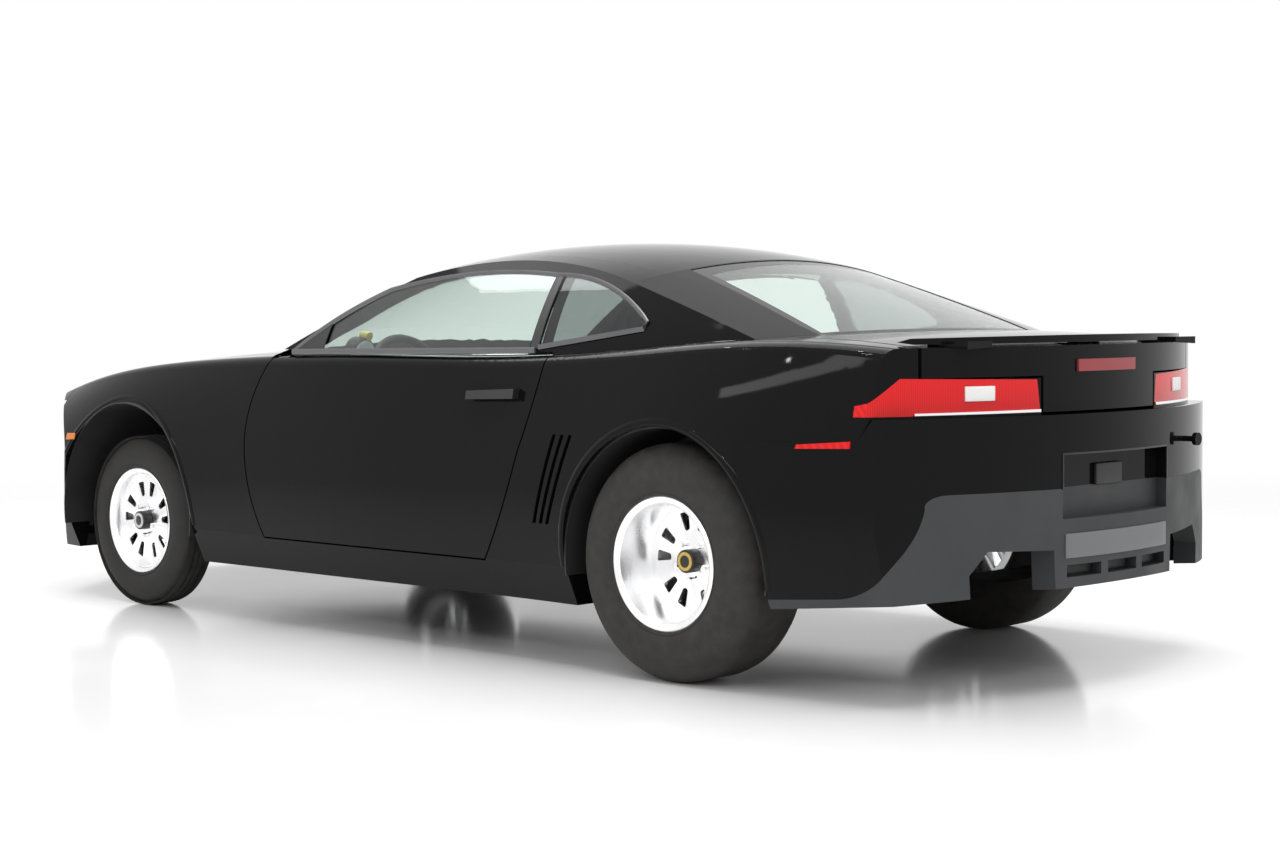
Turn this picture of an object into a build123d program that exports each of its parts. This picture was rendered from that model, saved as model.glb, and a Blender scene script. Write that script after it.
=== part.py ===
"""Two-door drag racing coupe: body panels, glass, running gear and cabin as separate solids.

Frame: +X forward, +Y to the car's left, +Z up; origin on the floor, mid-length on the centre plane.
All sizes are in millimetres. Left-hand pieces are modelled, and right-hand ones are their mirror image.
"""

import os

from build123d import *

os.makedirs("parts", exist_ok=True)

# Overall sizes
LENGTH = 4841.0
WIDTH = 1918.0
ROOF_Z = 1364.0
WHEELBASE = 2852.0
FRONT_OVERHANG = 959.0

HALF = WIDTH / 2
NOSE_X = LENGTH / 2
TAIL_X = -LENGTH / 2
FRONT_AXLE_X = NOSE_X - FRONT_OVERHANG
REAR_AXLE_X = FRONT_AXLE_X - WHEELBASE
MID_X = (FRONT_AXLE_X + REAR_AXLE_X) / 2

# Panels and clearances
PANEL_GAP = 6.0
LID_GAP = 10.0
SEAT_GAP = 0.3
SIDE_WALL = 80.0
LID_WALL = 40.0
ROOF_WALL = 45.0
GLASS_SINK = 2.0
GLASS_WALL = 6.0
SHOULDER_R = 45.0
OVERRUN = 20.0
REACH = 1300.0

# Heights of the body's long lines
UNDER_Z = 200.0
SILL_TOP_Z = 318.0
SILL_EDGE_Z = 325.0
SILL_INNER_Y = 760.0
WAIST_Z = 660.0
CABIN_HALF = 800.0
PILLAR_FOOT_Z = 1000.0

# Wheels
FRONT_TYRE_R = 330.0
REAR_TYRE_R = 364.0
FRONT_TYRE_W = 146.0
REAR_TYRE_W = 286.0
TYRE_SHOULDER_R = 34.0
RIM_LIP_R = 207.5
RIM_SEAT_R = 190.5
RIM_WALL = 8.0
RIM_FLANGE = 9.0
FRONT_RIM_W = 130.0
REAR_RIM_W = 276.0
FRONT_WHEEL_Y = 791.0
REAR_WHEEL_Y = 780.0
FRONT_DISH = 40.0
REAR_DISH = 145.0
FACE_WALL = 14.0
SPOKES = 5
HUB_R = 66.0
SPINDLE_R = 26.0
STUB_LENGTH = 22.5

# Arches and liners
FRONT_ARCH_R = 430.0
REAR_ARCH_R = 418.0
ARCH_Z = 362.0
LINER_WALL = 5.0
LINER_LOW_Z = 300.0
FRONT_LINER_Y = 440.0
REAR_LINER_Y = 600.0
LINER_EDGE_Y = HALF - SIDE_WALL / 2

# Front suspension
STEER_AXIS_Y = 690.0
STEER_R = 26.0
LOWER_ARM_Z = 205.0
ARM_WALL = 28.0
UPPER_ARM_Z = 470.0
ARM_HALF = 38.0
RAIL_Y = 350.0
RAIL_W = 80.0
RAIL_Z = 330.0
RAIL_H = 100.0

# Floor, firewall and rear floor
FLOOR_Z = 215.0
FLOOR_WALL = 30.0
FIREWALL_X = FRONT_AXLE_X - 530
KICKUP_X = REAR_AXLE_X + 830
REAR_FLOOR_Z = 565.0
TUNNEL_HALF = 170.0
TUNNEL_Z = 430.0

# Body sections, nose to tail: station, side inset, shoulder half width, shoulder height, crown height
SECTIONS = [
    (NOSE_X + OVERRUN, 110, 745, 735, 790),
    (FRONT_AXLE_X + 430, 42, 800, 860, 905),
    (FRONT_AXLE_X, 22, 830, 925, 965),
    (FRONT_AXLE_X - 560, 36, 853, 962, 1005),
    (MID_X, 40, 866, 980, 1020),
    (REAR_AXLE_X + 560, 36, 862, 985, 1030),
    (REAR_AXLE_X, 0, 872, 1020, 1055),
    (REAR_AXLE_X - 520, 28, 850, 1034, 1058),
    (TAIL_X - OVERRUN, 100, 770, 996, 1010),
]
ROCKER_TUCK = 70.0
SILL_TUCK = 18.0

# Greenhouse profiles: station y, cowl x, header x and drop, crest x and drop, rear header x and drop, base x
ROOF_EDGE_Y = 900.0
EDGE_PROFILE = (MID_X + 610, MID_X - 145, 159, MID_X - 505, 124, MID_X - 1075, 199, MID_X - 1923)
CENTRE_PROFILE = (MID_X + 883, MID_X + 60, 48, MID_X - 365, 0, MID_X - 1155, 66, MID_X - 2118)
PROFILES = [(-ROOF_EDGE_Y, EDGE_PROFILE), (0.0, CENTRE_PROFILE), (ROOF_EDGE_Y, EDGE_PROFILE)]
HOUSE_BASE_Z = 940.0
SCREEN_BULGE = 16.0
# Tumblehome: station x and half width at the base; height above the base and lean at the middle and the top
TUMBLE = [(MID_X + 900, 856), (MID_X - 335, 868), (MID_X - 2240, 780)]
TUMBLE_MID = (230, 115)
TUMBLE_TOP = (460, 309)

# Plan outline of nose and tail: how far each corner falls back, and its radius
NOSE_SWEEP = 667.0
TAIL_SWEEP = 256.0
TAIL_HALF = 905.0
TAIL_TAPER = 460.0
CORNER_R = 190.0
LAMP_PANEL_INSET = 55.0

# Door hinge: its place on the door's front edge and half its height
HINGE_AT = (MID_X + 647, 680)
HINGE_HALF = 8.0

# Side outlines as (x, z) steps: a pair is a line's end, four numbers are an arc's middle and end
DOOR = [
    (MID_X + 470, 1060),
    (MID_X + 620, 830, *HINGE_AT),
    (MID_X + 628, 520, MID_X + 560, SILL_TOP_Z + PANEL_GAP),
    (MID_X - 612, SILL_TOP_Z + PANEL_GAP),
    (MID_X - 706, 473, MID_X - 792, 680),
    (MID_X - 850, 850, MID_X - 876, 1060),
]
DOOR_WINDOW = [
    (MID_X + 446, 990),
    (MID_X + 270, 1101, MID_X + 35, 1209),
    (MID_X - 365, 1258, MID_X - 757, 1247),
    (MID_X - 770, 985),
    (MID_X + 446, 970),
]
QUARTER_WINDOW = [
    (MID_X - 797, 1243),
    (MID_X - 995, 1212, MID_X - 1240, 1092),
    (MID_X - 1236, 1072),
    (MID_X - 810, 1014),
]
FENDER_FRONT = [
    (FRONT_AXLE_X + 400, 0),
    (FRONT_AXLE_X + 400, 520),
    (FRONT_AXLE_X + 475, 640),
    (FRONT_AXLE_X + 525, 690),
]
BUMPER_SEAM = [(REAR_AXLE_X - 330, 0), (REAR_AXLE_X - 330, 748), (TAIL_X + 310, 755), (TAIL_X + 270, 818)]
SKIRT_TOP_Z = 602.0
SKIRT_LINE = [
    (REAR_AXLE_X - 330, 0),
    (REAR_AXLE_X - 330, 285),
    (TAIL_X + 405, 305),
    (TAIL_X + 300, 330, TAIL_X + 240, 372),
    (TAIL_X + 203, 440, TAIL_X + 172, 565),
    (TAIL_X + 165, 590, TAIL_X + 140, SKIRT_TOP_Z),
    (-LENGTH, SKIRT_TOP_Z),
    (-LENGTH, 0),
]
HANDLE = [(MID_X - 551, 844), (MID_X - 551, 872), (MID_X - 779, 882), (MID_X - 779, 850)]
# Slits ahead of the rear arch: their top and bottom corners, pitches and widths
GILLS = 3
GILL_TOP = (REAR_AXLE_X + 465, 742)
GILL_FOOT = (REAR_AXLE_X + 559, 458)
GILL_TOP_PITCH = 38.0
GILL_FOOT_PITCH = 31.0
GILL_WIDTH = 16.0
GILL_DEPTH = 25.0
FRONT_MARKER = [
    (FRONT_AXLE_X + 322, 640),
    (FRONT_AXLE_X + 322, 664),
    (FRONT_AXLE_X + 388, 662),
    (FRONT_AXLE_X + 388, 636),
]
REAR_MARKER = [(TAIL_X + 500, 732), (TAIL_X + 496, 744), (TAIL_X + 330, 756), (TAIL_X + 330, 736)]

# Outlines seen from behind as (y, z) steps
TAIL_LAMP = [(312, 822), (325, 920), (777, 930), (TAIL_HALF, 824)]
HEADLAMP = [(450, 655), (450, 745), (HALF, 800), (HALF, 690)]
EXHAUST_NOTCH = [(300, 0), (320, 425), (560, 435), (620, 370), (600, 0)]
PLATE_HALF = 285.0
PLATE_LOW_Z = 513.0
PLATE_TOP_Z = 704.0
PLATE_X = TAIL_X + 60
BRAKE_LAMP_HALF = 155.0
BRAKE_LAMP_Z = (940.0, 976.0)
LAMP_WALL = 8.0

# Outlines seen from above as (x, y) steps
HOOD_BACK = 840.0
HOOD_BACK_Y = 720.0
HOOD_FRONT_Y = 600.0
CABIN_FRONT = 700.0
CABIN_BACK = TAIL_X + 690
DECK_FRONT = TAIL_X + 560
DECK_HALF = 715.0
DECK_FACE_HALF = 300.0


def mirrored(point):
    return (-point[0], point[1])


def prism(plane, steps, amount, grow=0.0):
    """A closed outline of lines and arcs, grown by an amount and extruded from its plane."""
    with BuildPart() as solid:
        with BuildSketch(plane):
            with BuildLine():
                here = steps[0]
                for step in steps[1:]:
                    there = step[-2:]
                    if len(step) == 4:
                        ThreePointArc(here, step[:2], there)
                    else:
                        Line(here, there)
                    here = there
                if here != steps[0]:
                    Line(here, steps[0])
            make_face()
            if grow:
                offset(amount=grow)
        extrude(amount=amount)
    return solid.part


def left_prism(steps, grow=0.0):
    """An outline seen from the side, extruded from the centre plane to beyond the left side."""
    return prism(Plane.XZ, steps, -REACH, grow)


def plan_prism(steps, grow=0.0, low=UNDER_Z, high=2 * ROOF_Z):
    """An outline seen from above, extruded upwards."""
    return prism(Plane.XY.offset(low), steps, high - low, grow)


def body_hull(inset):
    """The body below the glass as one solid, drawn in by inset all round."""
    with BuildPart() as hull:
        for x, side_inset, shoulder_y, shoulder_z, crown_z in SECTIONS:
            side_y = HALF - side_inset - inset
            low = (side_y - ROCKER_TUCK, UNDER_Z + inset)
            sill = (side_y - SILL_TUCK, SILL_EDGE_Z)
            waist = (side_y, WAIST_Z)
            shoulder = (shoulder_y - inset, shoulder_z - inset)
            with BuildSketch(Plane.YZ.offset(x)) as section:
                with BuildLine():
                    Line(mirrored(low), low)
                    Line(low, sill)
                    ThreePointArc(sill, waist, shoulder)
                    ThreePointArc(shoulder, (0, crown_z - inset), mirrored(shoulder))
                    ThreePointArc(mirrored(shoulder), mirrored(waist), mirrored(sill))
                    Line(mirrored(sill), mirrored(low))
                make_face()
                corners = section.vertices().filter_by_position(Axis.Y, shoulder[1] - 1, shoulder[1] + 1)
                fillet(corners, SHOULDER_R)
        loft()
    return hull.part


def plan_block(front_inset, rear_inset):
    """Everything between the curved nose and the curved tail, seen from above."""
    front_x = NOSE_X - front_inset
    rear_x = TAIL_X + rear_inset
    corner_x = rear_x + TAIL_SWEEP
    side_y = HALF + OVERRUN
    with BuildPart() as block:
        with BuildSketch() as plan:
            with BuildLine():
                ThreePointArc((front_x - NOSE_SWEEP, side_y), (front_x, 0), (front_x - NOSE_SWEEP, -side_y))
                Line((front_x - NOSE_SWEEP, -side_y), (corner_x + TAIL_TAPER, -side_y))
                Line((corner_x + TAIL_TAPER, -side_y), (corner_x, -TAIL_HALF))
                ThreePointArc((corner_x, -TAIL_HALF), (rear_x, 0), (corner_x, TAIL_HALF))
                Line((corner_x, TAIL_HALF), (corner_x + TAIL_TAPER, side_y))
                Line((corner_x + TAIL_TAPER, side_y), (front_x - NOSE_SWEEP, side_y))
            make_face()
            fillet(plan.vertices().group_by(Axis.X)[-1], CORNER_R)
            fillet(plan.vertices().group_by(Axis.X)[0], CORNER_R)
        extrude(amount=2 * ROOF_Z)
    return block.part


def body_shell(wall, rear_inset):
    """The hull's skin, wall thick, closed at nose and tail."""
    with BuildPart() as shell:
        add(HULL)
        add(plan_block(0, rear_inset), mode=Mode.INTERSECT)
        with BuildPart(mode=Mode.PRIVATE) as core:
            add(body_hull(wall))
            add(plan_block(wall, rear_inset + wall), mode=Mode.INTERSECT)
        add(core.part, mode=Mode.SUBTRACT)
    return shell.part


def greenhouse(inset):
    """The cabin above the belt as one solid, drawn in by inset."""
    drop = 1.1 * inset
    with BuildPart() as house:
        for y, profile in PROFILES:
            cowl_x, head_x, head_drop, crest_x, crest_drop, tail_x, tail_drop, base_x = profile
            cowl = (cowl_x, HOUSE_BASE_Z - drop)
            head = (head_x, ROOF_Z - head_drop - drop)
            crest = (crest_x, ROOF_Z - crest_drop - drop)
            tail = (tail_x, ROOF_Z - tail_drop - drop)
            base = (base_x, HOUSE_BASE_Z - drop)
            screen = ((cowl[0] + head[0]) / 2, (cowl[1] + head[1]) / 2 + SCREEN_BULGE)
            backlight = ((tail[0] + base[0]) / 2, (tail[1] + base[1]) / 2 + SCREEN_BULGE)
            with BuildSketch(Plane.XZ.offset(-y)):
                with BuildLine():
                    ThreePointArc(cowl, screen, head)
                    ThreePointArc(head, crest, tail)
                    ThreePointArc(tail, backlight, base)
                    Line(base, cowl)
                make_face()
        loft()
        with BuildPart(mode=Mode.PRIVATE) as sides:
            for x, half_width in TUMBLE:
                low = (half_width - 1.15 * inset, HOUSE_BASE_Z - drop)
                mid = (low[0] - TUMBLE_MID[1], HOUSE_BASE_Z + TUMBLE_MID[0])
                top = (low[0] - TUMBLE_TOP[1], HOUSE_BASE_Z + TUMBLE_TOP[0])
                with BuildSketch(Plane.YZ.offset(x)):
                    with BuildLine():
                        Line(mirrored(low), low)
                        ThreePointArc(low, mid, top)
                        Line(top, mirrored(top))
                        ThreePointArc(mirrored(top), mirrored(mid), mirrored(low))
                    make_face()
            loft()
        add(sides.part, mode=Mode.INTERSECT)
    return house.part


def largest(part):
    """The biggest solid of a cut panel."""
    return part.solids().sort_by(SortBy.VOLUME)[-1]


def panel(stock, keep, cuts):
    """The stock where it lies inside keep and outside every cut."""
    with BuildPart() as cut_panel:
        add(stock)
        add(keep, mode=Mode.INTERSECT)
        for cut in cuts:
            add(cut, mode=Mode.SUBTRACT)
    return largest(cut_panel.part)


def save(piece, label):
    """Label a piece and write its file."""
    piece.label = label
    export_step(piece, f"parts/{label}.step")


def save_pair(left, label):
    """Write a left-hand piece and its mirror image."""
    save(left, f"{label}_left")
    with BuildPart() as right:
        mirror(left, about=Plane.XZ)
    save(right.part, f"{label}_right")


def slab(x_range, y_range, z_range):
    """A box between two x, two y and two z."""
    with BuildPart() as block:
        with Locations([(sum(x_range) / 2, sum(y_range) / 2, sum(z_range) / 2)]):
            Box(abs(x_range[1] - x_range[0]), abs(y_range[1] - y_range[0]), abs(z_range[1] - z_range[0]))
    return block.part


def cross_cylinder(x, z, radius, y_range):
    """A cylinder along Y."""
    with BuildPart() as bar:
        with BuildSketch(Plane.XZ.offset(-y_range[0])):
            with Locations((x, z)):
                Circle(radius)
        extrude(amount=y_range[0] - y_range[1])
    return bar.part


# Shared stock
HULL = body_hull(0)
NEAR_HULL = body_hull(-SEAT_GAP)
UPPER = body_shell(SIDE_WALL, LAMP_PANEL_INSET)
LIDS = body_shell(LID_WALL, LAMP_PANEL_INSET)
LOWER = body_shell(SIDE_WALL, 0.0)
HOUSE = greenhouse(0)
PANE = greenhouse(GLASS_SINK) - greenhouse(GLASS_SINK + GLASS_WALL) - NEAR_HULL

FAR = LENGTH
DOOR_CUT = left_prism(DOOR, PANEL_GAP)
HOOD_PLAN = [
    (HOOD_BACK - 160, -HOOD_BACK_Y),
    (HOOD_BACK, 0, HOOD_BACK - 160, HOOD_BACK_Y),
    (NOSE_X - 300, HOOD_FRONT_Y),
    (NOSE_X - 95, 0, NOSE_X - 300, -HOOD_FRONT_Y),
]
HOOD_CUT = plan_prism(HOOD_PLAN, LID_GAP, WAIST_Z)
CABIN_PLAN = [
    (CABIN_FRONT - 160, -CABIN_HALF),
    (CABIN_FRONT, 0, CABIN_FRONT - 160, CABIN_HALF),
    (CABIN_BACK + 170, CABIN_HALF),
    (CABIN_BACK, 0, CABIN_BACK + 170, -CABIN_HALF),
]
CABIN_CUT = plan_prism(CABIN_PLAN, 0.0, WAIST_Z)
COWL_PLAN = [
    (CABIN_FRONT - 160, -CABIN_HALF),
    (CABIN_FRONT, 0, CABIN_FRONT - 160, CABIN_HALF),
    (HOOD_BACK - 200, CABIN_HALF),
    (HOOD_BACK - LID_GAP, 0, HOOD_BACK - 200, -CABIN_HALF),
]
DECK_PLAN = [
    (DECK_FRONT + 90, -DECK_HALF),
    (DECK_FRONT, 0, DECK_FRONT + 90, DECK_HALF),
    (-FAR, DECK_HALF),
    (-FAR, -DECK_HALF),
]
TULIP_PLAN = [
    (CABIN_BACK + 170, -CABIN_HALF),
    (CABIN_BACK, 0, CABIN_BACK + 170, CABIN_HALF),
    (DECK_FRONT + 112 + LID_GAP, CABIN_HALF),
    (DECK_FRONT + LID_GAP, 0, DECK_FRONT + 112 + LID_GAP, -CABIN_HALF),
]
DECK_LOW_Z = 930.0
DECK_FACE_Z = 824.0

FRONT_ARCH = cross_cylinder(FRONT_AXLE_X, ARCH_Z, FRONT_ARCH_R, (0, REACH)) + slab(
    (FRONT_AXLE_X - FRONT_ARCH_R, FRONT_AXLE_X + FRONT_ARCH_R), (0, REACH), (0, ARCH_Z)
)
REAR_ARCH = cross_cylinder(REAR_AXLE_X, ARCH_Z, REAR_ARCH_R, (0, REACH)) + slab(
    (REAR_AXLE_X - REAR_ARCH_R, REAR_AXLE_X + REAR_ARCH_R), (0, REACH), (0, ARCH_Z)
)
UNDERCUT = left_prism(
    [(REAR_AXLE_X - 330, 0), (REAR_AXLE_X - 330, 255), (TAIL_X - 60, 318), (TAIL_X - 60, 0)]
)
LAMP_CUT = prism(Plane.YZ.offset(-FAR), TAIL_LAMP, FAR + TAIL_X + 330, SEAT_GAP)
HEADLAMP_CUT = prism(Plane.YZ.offset(FRONT_AXLE_X + 525), HEADLAMP, FAR, SEAT_GAP)

# Sides
FENDER = [
    (0, SILL_TOP_Z),
    *[(x, max(z, SILL_TOP_Z)) for x, z in FENDER_FRONT],
    (FENDER_FRONT[-1][0], FAR),
    (0, FAR),
]
COWL_CUT = plan_prism(COWL_PLAN, SEAT_GAP, WAIST_Z)
fender = panel(UPPER, left_prism(FENDER), [DOOR_CUT, FRONT_ARCH, HOOD_CUT, CABIN_CUT, COWL_CUT])
with BuildPart() as hinged_fender:
    add(fender)
    add(
        slab(
            (HINGE_AT[0] + SEAT_GAP, HINGE_AT[0] + 2 * PANEL_GAP),
            (HALF - SIDE_WALL - 30, HALF - 60),
            (HINGE_AT[1] - HINGE_HALF, HINGE_AT[1] + HINGE_HALF),
        )
    )
save_pair(hinged_fender.part, "fender")

door = panel(UPPER, left_prism(DOOR), [slab((-FAR, FAR), (0, CABIN_HALF + PANEL_GAP), (0, FAR))])
save_pair(door, "door")

QUARTER = [(0, SILL_TOP_Z), (-FAR, SILL_TOP_Z), (-FAR, FAR), (0, FAR)]
REAR_BUMPER = [*BUMPER_SEAM, (-FAR, BUMPER_SEAM[-1][1]), (-FAR, 0)]
DECK_CUTS = [
    plan_prism(DECK_PLAN, LID_GAP, DECK_LOW_Z - PANEL_GAP),
    slab((-FAR, TAIL_X + 200), (-DECK_FACE_HALF - LID_GAP, DECK_FACE_HALF + LID_GAP), (0, DECK_LOW_Z)),
]
with BuildPart() as gills:
    for row in range(GILLS):
        top_x = GILL_TOP[0] - row * GILL_TOP_PITCH
        foot_x = GILL_FOOT[0] - row * GILL_FOOT_PITCH
        gill = [
            (top_x, GILL_TOP[1]),
            (top_x - GILL_WIDTH, GILL_TOP[1]),
            (foot_x - GILL_WIDTH, GILL_FOOT[1]),
            (foot_x, GILL_FOOT[1]),
        ]
        add(left_prism(gill))
    add(body_hull(GILL_DEPTH), mode=Mode.SUBTRACT)
quarter = panel(
    UPPER,
    left_prism(QUARTER),
    [
        DOOR_CUT,
        REAR_ARCH,
        CABIN_CUT,
        plan_prism(TULIP_PLAN, SEAT_GAP, WAIST_Z),
        left_prism(REAR_BUMPER, SEAT_GAP),
        LAMP_CUT,
        gills.part,
        *DECK_CUTS,
    ],
)
save_pair(quarter, "quarter")

with BuildPart() as sill:
    add(HULL)
    sill_x = (REAR_AXLE_X + REAR_ARCH_R, FRONT_AXLE_X - FRONT_ARCH_R)
    add(slab(sill_x, (SILL_INNER_Y, REACH), (UNDER_Z, SILL_TOP_Z)), mode=Mode.INTERSECT)
save_pair(sill.part, "sill")

# Lids and the panels beside the glass
hood = panel(LIDS, plan_prism(HOOD_PLAN, 0.0, WAIST_Z), [])
save(hood, "hood")

UNDER_LIDS = body_hull(LID_WALL + SEAT_GAP)
LEDGE = 45.0


def glass_sill(plan, ledge):
    """The panel at a screen's foot, with a ledge that reaches under the lid beside it."""
    with BuildPart() as sill_panel:
        add(UPPER)
        add(plan_prism(plan, 0.0, WAIST_Z), mode=Mode.INTERSECT)
        with BuildPart(mode=Mode.PRIVATE) as shelf:
            add(UNDER_LIDS)
            add(ledge, mode=Mode.INTERSECT)
            add(body_hull(SIDE_WALL), mode=Mode.SUBTRACT)
        add(shelf.part)
    return largest(sill_panel.part)


COWL_LEDGE = slab((HOOD_BACK - 80, HOOD_BACK + LEDGE), (-400, 400), (WAIST_Z, FAR))
TULIP_LEDGE = slab((DECK_FRONT - LEDGE, DECK_FRONT + 60), (-500, 500), (WAIST_Z, FAR))
save(glass_sill(COWL_PLAN, COWL_LEDGE), "cowl")
save(glass_sill(TULIP_PLAN, TULIP_LEDGE), "tulip_panel")

with BuildPart() as decklid:
    add(LIDS)
    with BuildPart(mode=Mode.PRIVATE) as lid_region:
        add(plan_prism(DECK_PLAN, 0.0, DECK_LOW_Z))
        add(slab((-FAR, TAIL_X + 300), (-DECK_FACE_HALF, DECK_FACE_HALF), (DECK_FACE_Z, FAR)))
    add(lid_region.part, mode=Mode.INTERSECT)
save(largest(decklid.part), "decklid")

SPOILER = [
    (TAIL_X + 330, 1024),
    (TAIL_X + 250, 1042),
    (TAIL_X + 72, 1048),
    (TAIL_X + 60, 1030),
    (TAIL_X + 60, 960),
    (TAIL_X + 330, 960),
]
SPOILER_HALF = 715.0
SPOILER_INSET = 80.0
with BuildPart() as spoiler:
    add(prism(Plane.XZ.offset(-SPOILER_HALF), SPOILER, 2 * SPOILER_HALF))
    add(plan_block(0, SPOILER_INSET), mode=Mode.INTERSECT)
    add(body_hull(-PANEL_GAP), mode=Mode.SUBTRACT)
    with BuildPart(mode=Mode.PRIVATE) as feet:
        for foot_y in (-560, 0, 560):
            add(slab((TAIL_X + 120, TAIL_X + 260), (foot_y - 60, foot_y + 60), (960, 1034)))
        add(NEAR_HULL, mode=Mode.SUBTRACT)
    add(feet.part)
save(largest(spoiler.part), "spoiler")

with BuildPart() as brake_lamp:
    add(slab((-FAR, 0), (-BRAKE_LAMP_HALF, BRAKE_LAMP_HALF), BRAKE_LAMP_Z))
    add(plan_block(0, LAMP_PANEL_INSET - LAMP_WALL), mode=Mode.INTERSECT)
    add(plan_block(0, LAMP_PANEL_INSET - SEAT_GAP), mode=Mode.SUBTRACT)
save(brake_lamp.part, "brake_lamp")

# Bumpers and lamps
GRILLE_SLOTS = [(400, 600, 690), (620, 270, 460)]
FRONT_CLIP = [
    *[(x + PANEL_GAP / 2, z) for x, z in FENDER_FRONT],
    (FENDER_FRONT[-1][0] + PANEL_GAP / 2, FAR),
    (FAR, FAR),
    (FAR, 0),
]
with BuildPart() as front_bumper:
    add(LOWER)
    with BuildPart(mode=Mode.PRIVATE) as clip:
        add(left_prism(FRONT_CLIP))
        mirror(about=Plane.XZ)
    add(clip.part, mode=Mode.INTERSECT)
    add(HOOD_CUT, mode=Mode.SUBTRACT)
    add(FRONT_ARCH, mode=Mode.SUBTRACT)
    add(mirror(FRONT_ARCH, about=Plane.XZ, mode=Mode.PRIVATE), mode=Mode.SUBTRACT)
    add(HEADLAMP_CUT, mode=Mode.SUBTRACT)
    add(mirror(HEADLAMP_CUT, about=Plane.XZ, mode=Mode.PRIVATE), mode=Mode.SUBTRACT)
    for half, low_z, high_z in GRILLE_SLOTS:
        add(slab((NOSE_X - 330, FAR), (-half, half), (low_z, high_z)), mode=Mode.SUBTRACT)
save(largest(front_bumper.part), "front_bumper")

headlamp = panel(UPPER, prism(Plane.YZ.offset(FRONT_AXLE_X + 525), HEADLAMP, FAR), [HOOD_CUT])
with BuildPart() as headlamps:
    add(headlamp)
    mirror(about=Plane.XZ)
save(headlamps.part, "headlamps")

SLAT = 10.0
SLAT_PITCH = 45.0
GRILLE_SINK = 30.0
MESH_SINK = 60.0
MESH_WALL = 10.0
with BuildPart() as grille:
    for half, low_z, high_z in GRILLE_SLOTS:
        span = (SEAT_GAP - half, half - SEAT_GAP)
        count = int((high_z - low_z) // SLAT_PITCH)
        add(slab((0, FAR), span, (low_z + SEAT_GAP, high_z - SEAT_GAP)))
        for row in range(count):
            row_low = low_z + row * (high_z - low_z) / count + SLAT / 2
            row_high = low_z + (row + 1) * (high_z - low_z) / count - SLAT / 2
            with BuildPart(mode=Mode.PRIVATE) as gap:
                add(slab((0, FAR), span, (row_low, row_high)))
                add(plan_block(MESH_SINK, 0), mode=Mode.SUBTRACT)
            add(gap.part, mode=Mode.SUBTRACT)
    add(plan_block(GRILLE_SINK, 0), mode=Mode.INTERSECT)
    add(plan_block(MESH_SINK + MESH_WALL, 0), mode=Mode.SUBTRACT)
save(grille.part, "grille")

# Cut-off knob: its place, and the radius, start and length of its head and stem
KNOB_AT = (-450, 715)
KNOB = [(20.0, TAIL_X + 8, 14.0), (9.0, TAIL_X + 20, SIDE_WALL)]
with BuildPart() as rear_bumper:
    add(LOWER)
    with BuildPart(mode=Mode.PRIVATE) as clip:
        add(left_prism(REAR_BUMPER))
        add(left_prism(SKIRT_LINE, SEAT_GAP), mode=Mode.SUBTRACT)
        mirror(about=Plane.XZ)
    add(clip.part, mode=Mode.INTERSECT)
    add(REAR_ARCH, mode=Mode.SUBTRACT)
    add(mirror(REAR_ARCH, about=Plane.XZ, mode=Mode.PRIVATE), mode=Mode.SUBTRACT)
    add(slab((-FAR, PLATE_X), (-PLATE_HALF, PLATE_HALF), (PLATE_LOW_Z, PLATE_TOP_Z)), mode=Mode.SUBTRACT)
    for knob_r, knob_x, knob_length in KNOB:
        with BuildSketch(Plane.YZ.offset(knob_x)):
            with Locations(KNOB_AT):
                Circle(knob_r)
        extrude(amount=knob_length)
save(largest(rear_bumper.part), "rear_bumper")

# Slots under the plate: their middles, half width, heights and depth
SLOT_Y = (-190, 0, 190)
SLOT_HALF = 78.0
SLOT_Z = (342.0, 378.0)
SLOT_DEPTH = 40.0
with BuildPart() as slots:
    for slot_y in SLOT_Y:
        add(slab((-FAR, TAIL_X + SIDE_WALL), (slot_y - SLOT_HALF, slot_y + SLOT_HALF), SLOT_Z))
    add(plan_block(0, SLOT_DEPTH), mode=Mode.SUBTRACT)
with BuildPart() as diffuser:
    add(LOWER)
    with BuildPart(mode=Mode.PRIVATE) as clip:
        add(left_prism(SKIRT_LINE))
        add(UNDERCUT, mode=Mode.SUBTRACT)
        add(REAR_ARCH, mode=Mode.SUBTRACT)
        add(prism(Plane.YZ.offset(-FAR), EXHAUST_NOTCH, FAR + TAIL_X + 330), mode=Mode.SUBTRACT)
        mirror(about=Plane.XZ)
    add(clip.part, mode=Mode.INTERSECT)
    add(slab((-FAR, PLATE_X), (-PLATE_HALF, PLATE_HALF), (PLATE_LOW_Z, PLATE_TOP_Z)), mode=Mode.SUBTRACT)
    add(slots.part, mode=Mode.SUBTRACT)
save(largest(diffuser.part), "diffuser")

tail_lamp = panel(UPPER, prism(Plane.YZ.offset(-FAR), TAIL_LAMP, FAR + TAIL_X + 330 - SEAT_GAP), [])
with BuildPart() as tail_lamps:
    add(tail_lamp)
    mirror(about=Plane.XZ)
save(tail_lamps.part, "tail_lamps")

MARKER_PROUD = 4.0
HANDLE_PROUD = 24.0
for label, outline in [("front_markers", FRONT_MARKER), ("rear_markers", REAR_MARKER)]:
    marker = panel(body_hull(-MARKER_PROUD), left_prism(outline), [NEAR_HULL])
    with BuildPart() as markers:
        add(marker)
        mirror(about=Plane.XZ)
    save(markers.part, label)
save_pair(panel(body_hull(-HANDLE_PROUD), left_prism(HANDLE), [NEAR_HULL]), "door_handle")

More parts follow.
